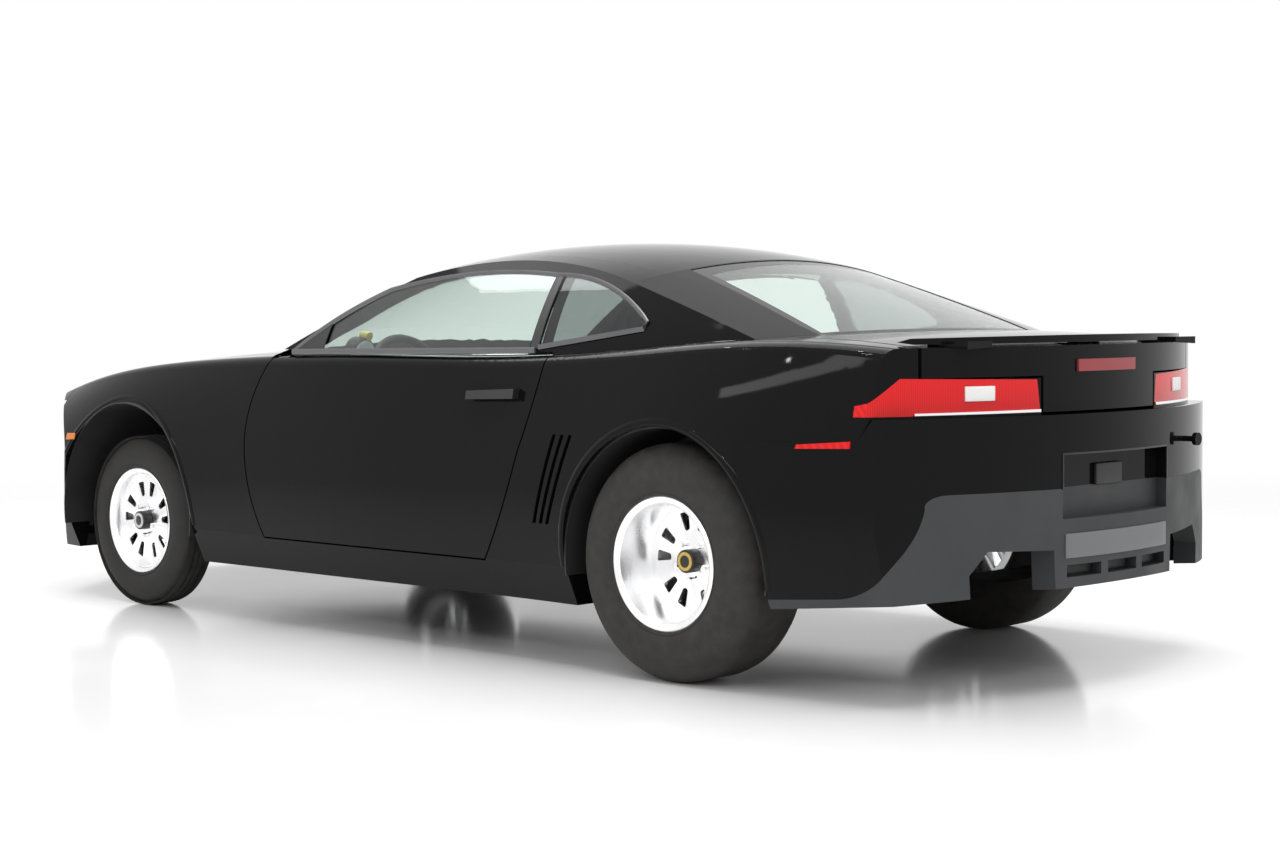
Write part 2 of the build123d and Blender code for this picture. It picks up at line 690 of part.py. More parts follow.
# Greenhouse
SCREEN_TOP = MID_X + 50
SCREEN_PLAN = [
    (SCREEN_TOP - 65, -545),
    (SCREEN_TOP, 0, SCREEN_TOP - 65, 545),
    (MID_X + 605, 745),
    (MID_X + 900, 745),
    (MID_X + 900, -745),
    (MID_X + 605, -745),
]
BACKLIGHT_TOP = MID_X - 1165
BACKLIGHT_PLAN = [
    (BACKLIGHT_TOP + 25, -470),
    (BACKLIGHT_TOP, 0, BACKLIGHT_TOP + 25, 470),
    (MID_X - 1675, 560),
    (MID_X - 2100, 560),
    (MID_X - 2100, -560),
    (MID_X - 1675, -560),
]
ROOF_HALF = 566.0
ROOF_PLAN = [
    (BACKLIGHT_TOP + 30, -ROOF_HALF),
    (FAR, -ROOF_HALF),
    (FAR, ROOF_HALF),
    (BACKLIGHT_TOP + 30, ROOF_HALF),
    (BACKLIGHT_TOP - 12, 0, BACKLIGHT_TOP + 30, -ROOF_HALF),
]
with BuildPart() as house_shell:
    add(HOUSE)
    add(greenhouse(ROOF_WALL), mode=Mode.SUBTRACT)
    add(NEAR_HULL, mode=Mode.SUBTRACT)
    add(plan_prism(SCREEN_PLAN), mode=Mode.SUBTRACT)
    add(plan_prism(BACKLIGHT_PLAN), mode=Mode.SUBTRACT)
    for outline in (DOOR_WINDOW, QUARTER_WINDOW):
        add(left_prism(outline), mode=Mode.SUBTRACT)
        add(mirror(left_prism(outline), about=Plane.XZ, mode=Mode.PRIVATE), mode=Mode.SUBTRACT)
save(panel(house_shell.part, plan_prism(ROOF_PLAN), []), "roof_panel")
with BuildPart() as door_sweep:
    add(DOOR_CUT)
    add(slab((-FAR, FAR), (0, REACH), (0, PILLAR_FOOT_Z)), mode=Mode.INTERSECT)
left_half = slab((-FAR, FAR), (0, REACH), (0, FAR))
roof_cut = plan_prism(ROOF_PLAN, SEAT_GAP)
save_pair(panel(house_shell.part, left_half, [roof_cut, door_sweep.part]), "roof_side")
save(panel(PANE, plan_prism(SCREEN_PLAN, -SEAT_GAP), []), "windshield")
save(panel(PANE, plan_prism(BACKLIGHT_PLAN, -SEAT_GAP), []), "rear_window")
save_pair(panel(PANE, left_prism(DOOR_WINDOW, -PANEL_GAP), []), "door_glass")
save_pair(panel(PANE, left_prism(QUARTER_WINDOW, -SEAT_GAP), []), "quarter_glass")

# Wheels: label, axle x, wheel y, tyre radius, tyre width, rim width, dish depth
WHEELS = [
    ("front", FRONT_AXLE_X, FRONT_WHEEL_Y, FRONT_TYRE_R, FRONT_TYRE_W, FRONT_RIM_W, FRONT_DISH),
    ("rear", REAR_AXLE_X, REAR_WHEEL_Y, REAR_TYRE_R, REAR_TYRE_W, REAR_RIM_W, REAR_DISH),
]


def axle_plane(x, y, z):
    """A plane whose normal points outwards along +Y at a wheel's centre."""
    return Plane(origin=(x, y, z), x_dir=(1, 0, 0), z_dir=(0, 1, 0))


def face_inner(wheel_y, rim_width, dish):
    """The y of the inner side of a wheel's face plate."""
    return wheel_y + rim_width / 2 - dish - FACE_WALL


for label, x, y, tyre_r, tyre_w, rim_w, dish in WHEELS:
    hub = axle_plane(x, y, tyre_r)
    half = rim_w / 2
    face_low = half - dish - FACE_WALL
    with BuildPart(hub) as rim:
        with BuildSketch(Plane(hub.origin, x_dir=(1, 0, 0), z_dir=(0, 0, -1))):
            with BuildLine():
                Polyline(
                    (RIM_SEAT_R - RIM_WALL, -half),
                    (RIM_LIP_R, -half),
                    (RIM_LIP_R, -half + RIM_FLANGE),
                    (RIM_SEAT_R, -half + RIM_FLANGE),
                    (RIM_SEAT_R, half - RIM_FLANGE),
                    (RIM_LIP_R, half - RIM_FLANGE),
                    (RIM_LIP_R, half),
                    (RIM_SEAT_R - RIM_WALL, half),
                    close=True,
                )
            make_face()
        revolve(axis=Axis(hub.origin, (0, 1, 0)))
        with BuildSketch(hub.offset(face_low)):
            Circle(RIM_SEAT_R - RIM_WALL / 2)
            Circle(SPINDLE_R + SEAT_GAP, mode=Mode.SUBTRACT)
            with PolarLocations(0.66 * RIM_SEAT_R, SPOKES):
                Triangle(a=70, b=70, c=62, mode=Mode.SUBTRACT)
        extrude(amount=FACE_WALL)
    save_pair(rim.part, f"{label}_rim")

    with BuildPart() as tyre:
        with BuildSketch(Plane(hub.origin, x_dir=(1, 0, 0), z_dir=(0, 0, -1))) as section:
            with Locations(((RIM_SEAT_R + SEAT_GAP + tyre_r) / 2, 0)):
                Rectangle(tyre_r - RIM_SEAT_R - SEAT_GAP, rim_w - 2 * (RIM_FLANGE + SEAT_GAP))
            with Locations(((RIM_LIP_R + SEAT_GAP + tyre_r) / 2, 0)):
                Rectangle(tyre_r - RIM_LIP_R - SEAT_GAP, tyre_w)
            fillet(section.vertices().group_by(Axis.X)[-1], TYRE_SHOULDER_R)
        revolve(axis=Axis(hub.origin, (0, 1, 0)))
    save_pair(tyre.part, f"{label}_tyre")

# Rear axle with its trailing arms, and the shaft that drives it
AXLE_R = 42.0
DIFF_R = 130.0
DIFF_HALF = 110.0
ARM_Y = 470.0
rear_face = face_inner(REAR_WHEEL_Y, REAR_RIM_W, REAR_DISH)
with BuildPart() as rear_axle:
    add(cross_cylinder(REAR_AXLE_X, REAR_TYRE_R, AXLE_R, (-rear_face + SEAT_GAP, rear_face - SEAT_GAP)))
    add(cross_cylinder(REAR_AXLE_X, REAR_TYRE_R, DIFF_R, (-DIFF_HALF, DIFF_HALF)))
    for side in (-1, 1):
        flange = (side * (rear_face - FACE_WALL - SEAT_GAP), side * (rear_face - SEAT_GAP))
        add(cross_cylinder(REAR_AXLE_X, REAR_TYRE_R, HUB_R, flange))
        stub = (side * (rear_face - FACE_WALL), side * (rear_face + FACE_WALL + STUB_LENGTH))
        add(cross_cylinder(REAR_AXLE_X, REAR_TYRE_R, SPINDLE_R, stub))
        arm_y = (side * (ARM_Y - 22), side * (ARM_Y + 22))
        add(slab((REAR_AXLE_X, KICKUP_X - FLOOR_WALL), arm_y, (300, 360)))
save(rear_axle.part, "rear_axle")

SHAFT_R = 38.0
SHAFT_Z = 350.0
GEARBOX_BACK = FIREWALL_X - 640
with BuildPart() as driveshaft:
    with BuildSketch(Plane.YZ.offset(REAR_AXLE_X + DIFF_R + SEAT_GAP)):
        with Locations((0, SHAFT_Z)):
            Circle(SHAFT_R)
    extrude(amount=GEARBOX_BACK - REAR_AXLE_X - DIFF_R - 2 * SEAT_GAP)
save(driveshaft.part, "driveshaft")

# Engine with its gearbox, on the front frame
ENGINE_HALF = 300.0
with BuildPart() as engine:
    add(slab((FIREWALL_X + 60, FIREWALL_X + 690), (-ENGINE_HALF, ENGINE_HALF), (RAIL_Z, RAIL_Z + 520)))
    add(slab((GEARBOX_BACK, FIREWALL_X + 60), (-130, 130), (RAIL_Z - 60, RAIL_Z + 80)))
save(engine.part, "engine")

CROSS_HALF = 120.0
with BuildPart() as front_frame:
    arm_x = (FRONT_AXLE_X - ARM_HALF, FRONT_AXLE_X + ARM_HALF)
    outer_y = (-RAIL_Y - RAIL_W, RAIL_Y + RAIL_W)
    for side in (-1, 1):
        rail_y = (side * RAIL_Y, side * (RAIL_Y + RAIL_W))
        add(slab((FIREWALL_X, NOSE_X - 180), rail_y, (RAIL_Z, RAIL_Z + RAIL_H)))
        add(slab(arm_x, rail_y, (RAIL_Z, UPPER_ARM_Z + ARM_WALL)))
        for arm_z in (LOWER_ARM_Z, UPPER_ARM_Z):
            arm_y = (side * RAIL_Y, side * STEER_AXIS_Y)
            add(slab(arm_x, arm_y, (arm_z, arm_z + ARM_WALL)))
            with BuildSketch(Plane.XY.offset(arm_z)):
                with Locations((FRONT_AXLE_X, side * STEER_AXIS_Y)):
                    Circle(ARM_HALF)
            extrude(amount=ARM_WALL)
    add(slab((FRONT_AXLE_X - CROSS_HALF, FRONT_AXLE_X + CROSS_HALF), outer_y, (LOWER_ARM_Z, RAIL_Z)))
    with BuildPart(mode=Mode.PRIVATE) as beam:
        add(slab((NOSE_X - 200, NOSE_X), (-560, 560), (470, 590)))
        add(slab((NOSE_X - 200, NOSE_X - 160), outer_y, (RAIL_Z, 590)))
        add(plan_block(SIDE_WALL + SEAT_GAP, 0), mode=Mode.INTERSECT)
        add(slab((NOSE_X - 195, FAR), (-700, 700), (0, 460)), mode=Mode.SUBTRACT)
    add(beam.part)
save(largest(front_frame.part), "front_frame")

front_face = face_inner(FRONT_WHEEL_Y, FRONT_RIM_W, FRONT_DISH)
with BuildPart() as knuckle:
    low_z = LOWER_ARM_Z + ARM_WALL + SEAT_GAP
    with BuildSketch(Plane.XY.offset(low_z)):
        with Locations((FRONT_AXLE_X, STEER_AXIS_Y)):
            Circle(STEER_R)
    extrude(amount=UPPER_ARM_Z - SEAT_GAP - low_z)
    add(cross_cylinder(FRONT_AXLE_X, FRONT_TYRE_R, 2 * STEER_R, (STEER_AXIS_Y, front_face - FACE_WALL)))
    add(cross_cylinder(FRONT_AXLE_X, FRONT_TYRE_R, HUB_R, (front_face - FACE_WALL, front_face - SEAT_GAP)))
    stub = (front_face - FACE_WALL, front_face + FACE_WALL + STUB_LENGTH)
    add(cross_cylinder(FRONT_AXLE_X, FRONT_TYRE_R, SPINDLE_R, stub))
save_pair(knuckle.part, "knuckle")

# Floor
with BuildPart() as floor_pan:
    floor_top = FLOOR_Z + FLOOR_WALL
    add(slab((KICKUP_X, FIREWALL_X), (-SILL_INNER_Y, SILL_INNER_Y), (FLOOR_Z, floor_top)))
    add(slab((FIREWALL_X - FLOOR_WALL, FIREWALL_X), (-SILL_INNER_Y, SILL_INNER_Y), (FLOOR_Z, 880)))
    add(slab((KICKUP_X - FLOOR_WALL, KICKUP_X), (-SILL_INNER_Y, SILL_INNER_Y), (FLOOR_Z, REAR_FLOOR_Z)))
    add(slab((TAIL_X, KICKUP_X), (-REAR_LINER_Y, REAR_LINER_Y), (REAR_FLOOR_Z, REAR_FLOOR_Z + FLOOR_WALL)))
    tunnel_y = TUNNEL_HALF + FLOOR_WALL
    add(slab((KICKUP_X, FIREWALL_X), (-tunnel_y, tunnel_y), (FLOOR_Z, TUNNEL_Z + FLOOR_WALL)))
    tunnel_x = (KICKUP_X - FLOOR_WALL, FIREWALL_X)
    add(slab(tunnel_x, (-TUNNEL_HALF, TUNNEL_HALF), (FLOOR_Z, TUNNEL_Z)), mode=Mode.SUBTRACT)
    add(plan_block(0, SIDE_WALL + SEAT_GAP), mode=Mode.INTERSECT)
save(floor_pan.part, "floor_pan")

# Liners: label, axle x, arch radius, inner wall y, lowest z of the inner wall
for label, x, arch_r, inner_y, wall_z in [
    ("front_liners", FRONT_AXLE_X, FRONT_ARCH_R, FRONT_LINER_Y, UPPER_ARM_Z + 2 * ARM_WALL),
    ("rear_liners", REAR_AXLE_X, REAR_ARCH_R, REAR_LINER_Y, REAR_TYRE_R + 2 * AXLE_R),
]:
    outer_r = arch_r - SEAT_GAP
    with BuildPart() as liners:
        add(cross_cylinder(x, ARCH_Z, outer_r, (inner_y, LINER_EDGE_Y)))
        add(cross_cylinder(x, ARCH_Z, outer_r - LINER_WALL, (inner_y, LINER_EDGE_Y)), mode=Mode.SUBTRACT)
        with BuildPart(mode=Mode.PRIVATE) as wall:
            add(cross_cylinder(x, ARCH_Z, outer_r, (inner_y, inner_y + LINER_WALL)))
            add(slab((x - REACH, x + REACH), (0, REACH), (-REACH, wall_z)), mode=Mode.SUBTRACT)
        add(wall.part)
        add(slab((x - REACH, x + REACH), (0, REACH), (-REACH, LINER_LOW_Z)), mode=Mode.SUBTRACT)
        mirror(about=Plane.XZ)
    save(liners.part, label)

# Cabin
DASH_HALF = 700.0
DASH = [
    (FIREWALL_X - FLOOR_WALL, 640),
    (FIREWALL_X - FLOOR_WALL, 820),
    (MID_X + 540, 895),
    (MID_X + 440, 860),
    (MID_X + 450, 720),
]
save(prism(Plane.XZ.offset(-DASH_HALF), DASH, 2 * DASH_HALF), "dashboard")

SEAT_Y = 445.0
SEAT_HALF = 235.0
SEAT = [
    (MID_X + 120, FLOOR_Z + FLOOR_WALL),
    (MID_X + 130, 470),
    (MID_X - 300, 430),
    (MID_X - 470, 920),
    (MID_X - 590, 920),
    (MID_X - 420, FLOOR_Z + FLOOR_WALL),
]
with BuildPart() as seats:
    for side in (-1, 1):
        add(prism(Plane.XZ.offset(-side * SEAT_Y + SEAT_HALF), SEAT, -2 * SEAT_HALF))
save(seats.part, "seats")

WHEEL_GRIP_R = 165.0
GRIP_R = 15.0
COLUMN_AT = (MID_X + 440, SEAT_Y, 800)
COLUMN_TILT = 25
COLUMN_LENGTH = 190.0
column = Plane(origin=COLUMN_AT, x_dir=(0, 1, 0), z_dir=(-1, 0, 0)).rotated((0, COLUMN_TILT, 0))
with BuildPart() as steering_wheel:
    with BuildSketch(column.offset(-60)):
        Circle(24)
    extrude(amount=COLUMN_LENGTH + 60)
    with BuildSketch(column.offset(COLUMN_LENGTH - 12)):
        Rectangle(2 * WHEEL_GRIP_R, 40)
        with Locations((0, 0)):
            Circle(60)
    extrude(amount=12)
    with Locations(column.offset(COLUMN_LENGTH)):
        Torus(WHEEL_GRIP_R, GRIP_R)
    add(prism(Plane.XZ.offset(-DASH_HALF), DASH, 2 * DASH_HALF), mode=Mode.SUBTRACT)
save(largest(steering_wheel.part), "steering_wheel")
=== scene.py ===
import math

import bpy
from mathutils import Matrix, Vector


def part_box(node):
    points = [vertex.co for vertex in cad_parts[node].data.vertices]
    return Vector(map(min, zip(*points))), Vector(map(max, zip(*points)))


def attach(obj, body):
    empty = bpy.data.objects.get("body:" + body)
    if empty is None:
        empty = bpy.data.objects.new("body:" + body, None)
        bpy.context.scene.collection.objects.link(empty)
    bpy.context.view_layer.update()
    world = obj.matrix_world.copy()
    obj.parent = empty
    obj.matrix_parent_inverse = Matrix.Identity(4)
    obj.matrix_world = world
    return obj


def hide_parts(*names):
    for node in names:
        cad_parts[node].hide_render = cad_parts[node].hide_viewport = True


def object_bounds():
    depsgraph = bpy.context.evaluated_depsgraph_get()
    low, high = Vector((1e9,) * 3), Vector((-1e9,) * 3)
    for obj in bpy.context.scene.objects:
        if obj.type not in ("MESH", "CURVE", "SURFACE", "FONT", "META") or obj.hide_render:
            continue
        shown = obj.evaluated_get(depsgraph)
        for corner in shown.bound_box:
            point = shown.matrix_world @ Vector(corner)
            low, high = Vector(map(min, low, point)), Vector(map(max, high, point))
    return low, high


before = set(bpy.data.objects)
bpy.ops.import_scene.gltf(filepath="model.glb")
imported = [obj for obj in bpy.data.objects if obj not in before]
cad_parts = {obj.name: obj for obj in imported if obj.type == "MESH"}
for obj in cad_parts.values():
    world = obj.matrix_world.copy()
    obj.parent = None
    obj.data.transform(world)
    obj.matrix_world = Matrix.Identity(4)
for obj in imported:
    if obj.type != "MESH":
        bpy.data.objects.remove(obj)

bl_info = {
    "name": "Drag racing coupe dressing",
    "version": (1, 0, 0),
    "blender": (4, 5, 0),
    "location": "View3D > Sidebar > Coupe",
    "description": "Dresses the packed coupe with paint, wheels, lamps, trim and a studio stage",
    "category": "Object",
}

CAD_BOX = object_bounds()
SIDES = (("left", 1), ("right", -1))
ACROSS = (0, 1, 0)
UPRIGHT = (0, 0, 1)


def middle_of(node):
    """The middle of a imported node's box."""
    low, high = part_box(node)
    return tuple((a + b) / 2 for a, b in zip(low, high))


# Body lines shared by the trim, in metres in the car's frame
MID_X = (middle_of("front_tyre_left")[0] + middle_of("rear_tyre_left")[0]) / 2
TAIL_X = CAD_BOX[0][0]
TAIL_SWEEP = 0.256
TAIL_HALF = 0.905
TAIL_R = (TAIL_HALF**2 + TAIL_SWEEP**2) / (2 * TAIL_SWEEP)
LAMP_PANEL_INSET = 0.055
HOUSE_BASE_Z = 0.940
# Tumblehome: station x and half width at the base of the greenhouse
TUMBLE = ((MID_X + 0.900, 0.856), (MID_X - 0.335, 0.868), (MID_X - 2.240, 0.780))
# Lean of the greenhouse's sides for each metre of height, and for each squared
LEAN = (0.331, 0.742)
# Printed band of the rear glass: slope of its side edges, their half width at the origin and the top edge
BAND_SLOPE = 0.176
BAND_FOOT = 0.237
BAND_TOP_X = MID_X - 1.205


class CoupeSizes(bpy.types.PropertyGroup):
    """Sizes of the pieces that dress the car."""

    dish_rear: bpy.props.FloatProperty(
        name="Rear dish",
        description="Depth of the rear wheel's face behind its lip",
        default=0.145,
        unit="LENGTH",
    )
    dish_front: bpy.props.FloatProperty(
        name="Front dish",
        description="Depth of the front wheel's face behind its lip",
        default=0.040,
        unit="LENGTH",
    )
    lug_circle: bpy.props.FloatProperty(
        name="Lug circle", description="Radius of the circle of lug nuts", default=0.060, unit="LENGTH"
    )
    lugs: bpy.props.IntProperty(name="Lugs", description="Number of lug nuts on a wheel", default=5)
    trim_width: bpy.props.FloatProperty(
        name="Trim", description="Half width of the window trim", default=0.008, unit="LENGTH"
    )
    groove_depth: bpy.props.FloatProperty(
        name="Grooves", description="Depth of the front tyre's grooves", default=0.006, unit="LENGTH"
    )


class CoupeColours(bpy.types.PropertyGroup):
    """Colours of the car's finishes and of the stage."""

    paint: bpy.props.FloatVectorProperty(
        name="Paint", description="Body colour", subtype="COLOR", size=3, default=(0.0045, 0.0045, 0.005)
    )
    lens: bpy.props.FloatVectorProperty(
        name="Lens", description="Tail lamp lens", subtype="COLOR", size=3, default=(0.72, 0.006, 0.008)
    )
    skirt: bpy.props.FloatVectorProperty(
        name="Skirt",
        description="Grained grey plastic",
        subtype="COLOR",
        size=3,
        default=(0.027, 0.028, 0.030),
    )
    floor: bpy.props.FloatVectorProperty(
        name="Floor", description="Studio floor", subtype="COLOR", size=3, default=(0.93, 0.93, 0.93)
    )


def sizes():
    return bpy.context.scene.coupe_sizes


def colours():
    return bpy.context.scene.coupe_colours


def cad(name):
    """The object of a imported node."""
    return bpy.data.objects[name]


# Materials

MATERIALS = {}

# Plain finishes: key, name, colour, roughness, metallic, grain, relief and how much the colour varies
FINISHES = (
    ("satin", "satin_black_trim", (0.012, 0.012, 0.013), 0.38, 0.0, 600.0, 0.05, 0.25),
    ("grey_trim", "satin_grey_trim", (0.16, 0.16, 0.165), 0.33, 0.7, 600.0, 0.04, 0.25),
    ("plastic", "black_moulded_plastic", (0.014, 0.014, 0.015), 0.55, 0.0, 700.0, 0.18, 0.25),
    ("pale", "pale_grey_panel", (0.13, 0.135, 0.14), 0.42, 0.0, 700.0, 0.15, 0.12),
    ("polish", "polished_aluminium", (0.95, 0.95, 0.955), 0.27, 1.0, 240.0, 0.02, 0.06),
    ("machined", "machined_aluminium", (0.70, 0.70, 0.71), 0.24, 1.0, 420.0, 0.06, 0.25),
    ("chrome", "chrome_strip", (0.90, 0.90, 0.92), 0.06, 1.0, 200.0, 0.01, 0.05),
    ("gold", "gold_anodised", (0.60, 0.42, 0.12), 0.25, 1.0, 500.0, 0.04, 0.25),
    ("steel", "satin_frame_steel", (0.025, 0.025, 0.027), 0.45, 0.4, 300.0, 0.12, 0.25),
    ("cast", "cast_engine_metal", (0.22, 0.22, 0.22), 0.50, 0.8, 350.0, 0.30, 0.25),
    ("trim", "moulded_dash_trim", (0.018, 0.018, 0.019), 0.60, 0.0, 900.0, 0.30, 0.25),
    ("cloth", "black_seat_cloth", (0.02, 0.02, 0.021), 0.88, 0.0, 1300.0, 0.50, 0.25),
    ("dial", "dial_face", (0.75, 0.76, 0.74), 0.35, 0.0, 400.0, 0.02, 0.25),
)
# Lamp lenses: key, name, colour and how close their ribs stand
LENSES = (
    ("dull_lens", "dull_red_lens", (0.30, 0.045, 0.05), 140.0),
    ("amber", "amber_lens", (0.75, 0.22, 0.02), 120.0),
    ("clear_lens", "clear_lamp_lens", (0.72, 0.74, 0.76), 40.0),
    ("white_lens", "reverse_lamp_lens", (0.88, 0.86, 0.86), 180.0),
    ("yellow", "shift_light_lens", (0.75, 0.62, 0.12), 90.0),
)
TAIL_LENS_RIBS = 60.0
PAINT_ROUGH = 0.035
PAINT_IOR = 1.2
GLASS_IOR = 1.45
GLASS_FILM = 0.02
GLASS_TINT = (0.86, 0.95, 0.91)
DARK_TINT = (0.30, 0.34, 0.33)
BAND_BLACK = (0.006, 0.006, 0.006, 1.0)
# Scale of a finish's broad patches, and the shares of its roughness at their glossiest and dullest
BROAD_GRAIN = 6.0
ROUGH_SHARES = (0.85, 1.2)
# Painted shade in the grooves between a lens's ribs, as a share of its colour
RIB_SHADE = 0.72


def shader(name):
    """A new material with its node tree, its main shader and its object coordinates."""
    material = bpy.data.materials.new(name)
    material.use_nodes = True
    nodes = material.node_tree.nodes
    coords = nodes.new("ShaderNodeTexCoord")
    return material, material.node_tree, nodes["Principled BSDF"], coords


def noise(tree, coords, scale, detail=4.0):
    """A noise texture in the object's own coordinates."""
    texture = tree.nodes.new("ShaderNodeTexNoise")
    texture.inputs["Scale"].default_value = scale
    texture.inputs["Detail"].default_value = detail
    tree.links.new(coords.outputs["Object"], texture.inputs["Vector"])
    return texture.outputs["Fac"]


def spread(tree, value, low, high, from_low=0.3, from_high=0.7):
    """Map a texture's middle range to low and high."""
    ranged = tree.nodes.new("ShaderNodeMapRange")
    ranged.inputs["From Min"].default_value = from_low
    ranged.inputs["From Max"].default_value = from_high
    ranged.inputs["To Min"].default_value = low
    ranged.inputs["To Max"].default_value = high
    tree.links.new(value, ranged.inputs["Value"])
    return ranged.outputs["Result"]


def blend_colours(tree, factor, first, second):
    """A colour between two, by a factor."""
    mix = tree.nodes.new("ShaderNodeMix")
    mix.data_type = "RGBA"
    tree.links.new(factor, mix.inputs["Factor"])
    mix.inputs["A"].default_value = (*first, 1.0)
    mix.inputs["B"].default_value = (*second, 1.0)
    return mix.outputs["Result"]


def bump(tree, main, height, strength, distance=0.001):
    """Give a shader relief from a height."""
    node = tree.nodes.new("ShaderNodeBump")
    node.inputs["Strength"].default_value = strength
    node.inputs["Distance"].default_value = distance
    tree.links.new(height, node.inputs["Height"])
    tree.links.new(node.outputs["Normal"], main.inputs["Normal"])


def finish(name, colour, rough, metallic=0.0, ior=1.5, grain=200.0, relief=0.05, vary=0.25):
    """A finish with colour, gloss and relief that vary over its own grain."""
    material, tree, main, coords = shader(name)
    main.inputs["Metallic"].default_value = metallic
    main.inputs["IOR"].default_value = ior
    broad = noise(tree, coords, BROAD_GRAIN)
    fine = noise(tree, coords, grain)
    shade = tuple(channel * (1 - vary) for channel in colour)
    glossy, dull = (rough * share for share in ROUGH_SHARES)
    tree.links.new(blend_colours(tree, broad, shade, colour), main.inputs["Base Color"])
    tree.links.new(spread(tree, broad, glossy, min(1.0, dull)), main.inputs["Roughness"])
    bump(tree, main, fine, relief)
    return material


def clear_glass(name, tint):
    """Window glass with a slight tint and a faint film of dust."""
    material, tree, main, coords = shader(name)
    main.inputs["Transmission Weight"].default_value = 1.0
    main.inputs["IOR"].default_value = GLASS_IOR
    main.inputs["Base Color"].default_value = (*tint, 1.0)
    tree.links.new(spread(tree, noise(tree, coords, 3.0), 0.0, GLASS_FILM), main.inputs["Roughness"])
    return material


def banded_glass(name, tint):
    """Rear glass with a black printed band along its sides and top."""
    material = clear_glass(name, tint)
    tree = material.node_tree
    clear = tree.nodes["Principled BSDF"]
    coords = next(node for node in tree.nodes if node.type == "TEX_COORD")
    split = tree.nodes.new("ShaderNodeSeparateXYZ")
    tree.links.new(coords.outputs["Object"], split.inputs[0])

    def math_node(operation, first, second):
        node = tree.nodes.new("ShaderNodeMath")
        node.operation = operation
        for socket, value in zip(node.inputs, (first, second)):
            if isinstance(value, float):
                socket.default_value = value
            else:
                tree.links.new(value, socket)
        return node.outputs[0]

    out = math_node("ABSOLUTE", split.outputs["Y"], 0.0)
    edge = math_node("MULTIPLY", split.outputs["X"], -BAND_SLOPE)
    beside = math_node("GREATER_THAN", math_node("SUBTRACT", out, edge), BAND_FOOT)
    above = math_node("GREATER_THAN", split.outputs["X"], BAND_TOP_X)
    band = math_node("MAXIMUM", beside, above)
    black = tree.nodes.new("ShaderNodeBsdfPrincipled")
    black.inputs["Base Color"].default_value = BAND_BLACK
    tree.links.new(spread(tree, noise(tree, coords, 40.0), 0.08, 0.14), black.inputs["Roughness"])
    mix = tree.nodes.new("ShaderNodeMixShader")
    tree.links.new(band, mix.inputs["Fac"])
    tree.links.new(clear.outputs[0], mix.inputs[1])
    tree.links.new(black.outputs[0], mix.inputs[2])
    tree.links.new(mix.outputs[0], tree.nodes["Material Output"].inputs["Surface"])
    return material


def lens(name, colour, ribs):
    """A moulded lamp lens with fine upright ribs behind a glossy face, its colour darker in the grooves
    between the ribs as painted shade.
    """
    material, tree, main, coords = shader(name)
    wave = tree.nodes.new("ShaderNodeTexWave")
    wave.bands_direction = "Y"
    wave.inputs["Scale"].default_value = ribs
    wave.inputs["Distortion"].default_value = 0.6
    tree.links.new(coords.outputs["Object"], wave.inputs["Vector"])
    # Painted shade: the colour darkens in the grooves between the ribs, where the bump is low
    painted_rib_shade = tuple(channel * RIB_SHADE for channel in colour)
    tree.links.new(blend_colours(tree, wave.outputs["Fac"], painted_rib_shade, colour), main.inputs["Base Color"])
    tree.links.new(spread(tree, noise(tree, coords, 30.0), 0.10, 0.18), main.inputs["Roughness"])
    main.inputs["IOR"].default_value = 1.4
    bump(tree, main, wave.outputs["Fac"], 0.06)
    return material


def worn_rubber(name, colour, dust):
    """Tyre rubber with scuffed, dusty patches."""
    material, tree, main, coords = shader(name)
    patches = noise(tree, coords, 26.0, 8.0)
    dusty = spread(tree, patches, 0.0, 1.0, 0.35, 0.8)
    tree.links.new(blend_colours(tree, dusty, colour, dust), main.inputs["Base Color"])
    tree.links.new(spread(tree, patches, 0.62, 0.85), main.inputs["Roughness"])
    main.inputs["Specular IOR Level"].default_value = 0.35
    bump(tree, main, noise(tree, coords, 420.0), 0.25)
    return material


def make_materials():
    """Make every finish from the tables and from the scene's colours."""
    tone = colours()
    for key, name, colour, rough, metallic, grain, relief, vary in FINISHES:
        MATERIALS[key] = finish(name, colour, rough, metallic, grain=grain, relief=relief, vary=vary)
    for key, name, colour, ribs in LENSES:
        MATERIALS[key] = lens(name, colour, ribs)
    MATERIALS.update(
        paint=finish(
            "gloss_black_paint",
            tuple(tone.paint),
            PAINT_ROUGH,
            ior=PAINT_IOR,
            grain=900.0,
            relief=0.008,
            vary=0.1,
        ),
        skirt=finish("grey_grained_plastic", tuple(tone.skirt), 0.58, grain=850.0, relief=0.30, vary=0.15),
        lens=lens("red_tail_lens", tuple(tone.lens), TAIL_LENS_RIBS),
        slick=worn_rubber("worn_slick_rubber", (0.016, 0.0155, 0.015), (0.046, 0.041, 0.035)),
        tread=worn_rubber("front_tyre_rubber", (0.014, 0.014, 0.014), (0.035, 0.033, 0.030)),
        glass=clear_glass("window_glass", GLASS_TINT),
        banded_glass=banded_glass("banded_rear_glass", GLASS_TINT),
        dark_glass=clear_glass("tinted_quarter_glass", DARK_TINT),
    )


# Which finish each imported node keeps
NODE_FINISH = {
    "paint": (
        "hood decklid spoiler front_bumper rear_bumper roof_panel tulip_panel fender_left fender_right "
        "door_left door_right quarter_left quarter_right sill_left sill_right "
        "roof_side_left roof_side_right"
    ),
    "glass": "windshield door_glass_left door_glass_right",
    "banded_glass": "rear_window",
    "dark_glass": "quarter_glass_left quarter_glass_right",
    "skirt": "diffuser",
    "plastic": "grille cowl front_liners rear_liners",
    "satin": "door_handle_left door_handle_right",
    "lens": "tail_lamps rear_markers",
    "dull_lens": "brake_lamp",
    "amber": "front_markers",
    "clear_lens": "headlamps",
    "steel": "floor_pan front_frame rear_axle driveshaft knuckle_left knuckle_right",
    "cast": "engine",
    "trim": "dashboard steering_wheel",
}

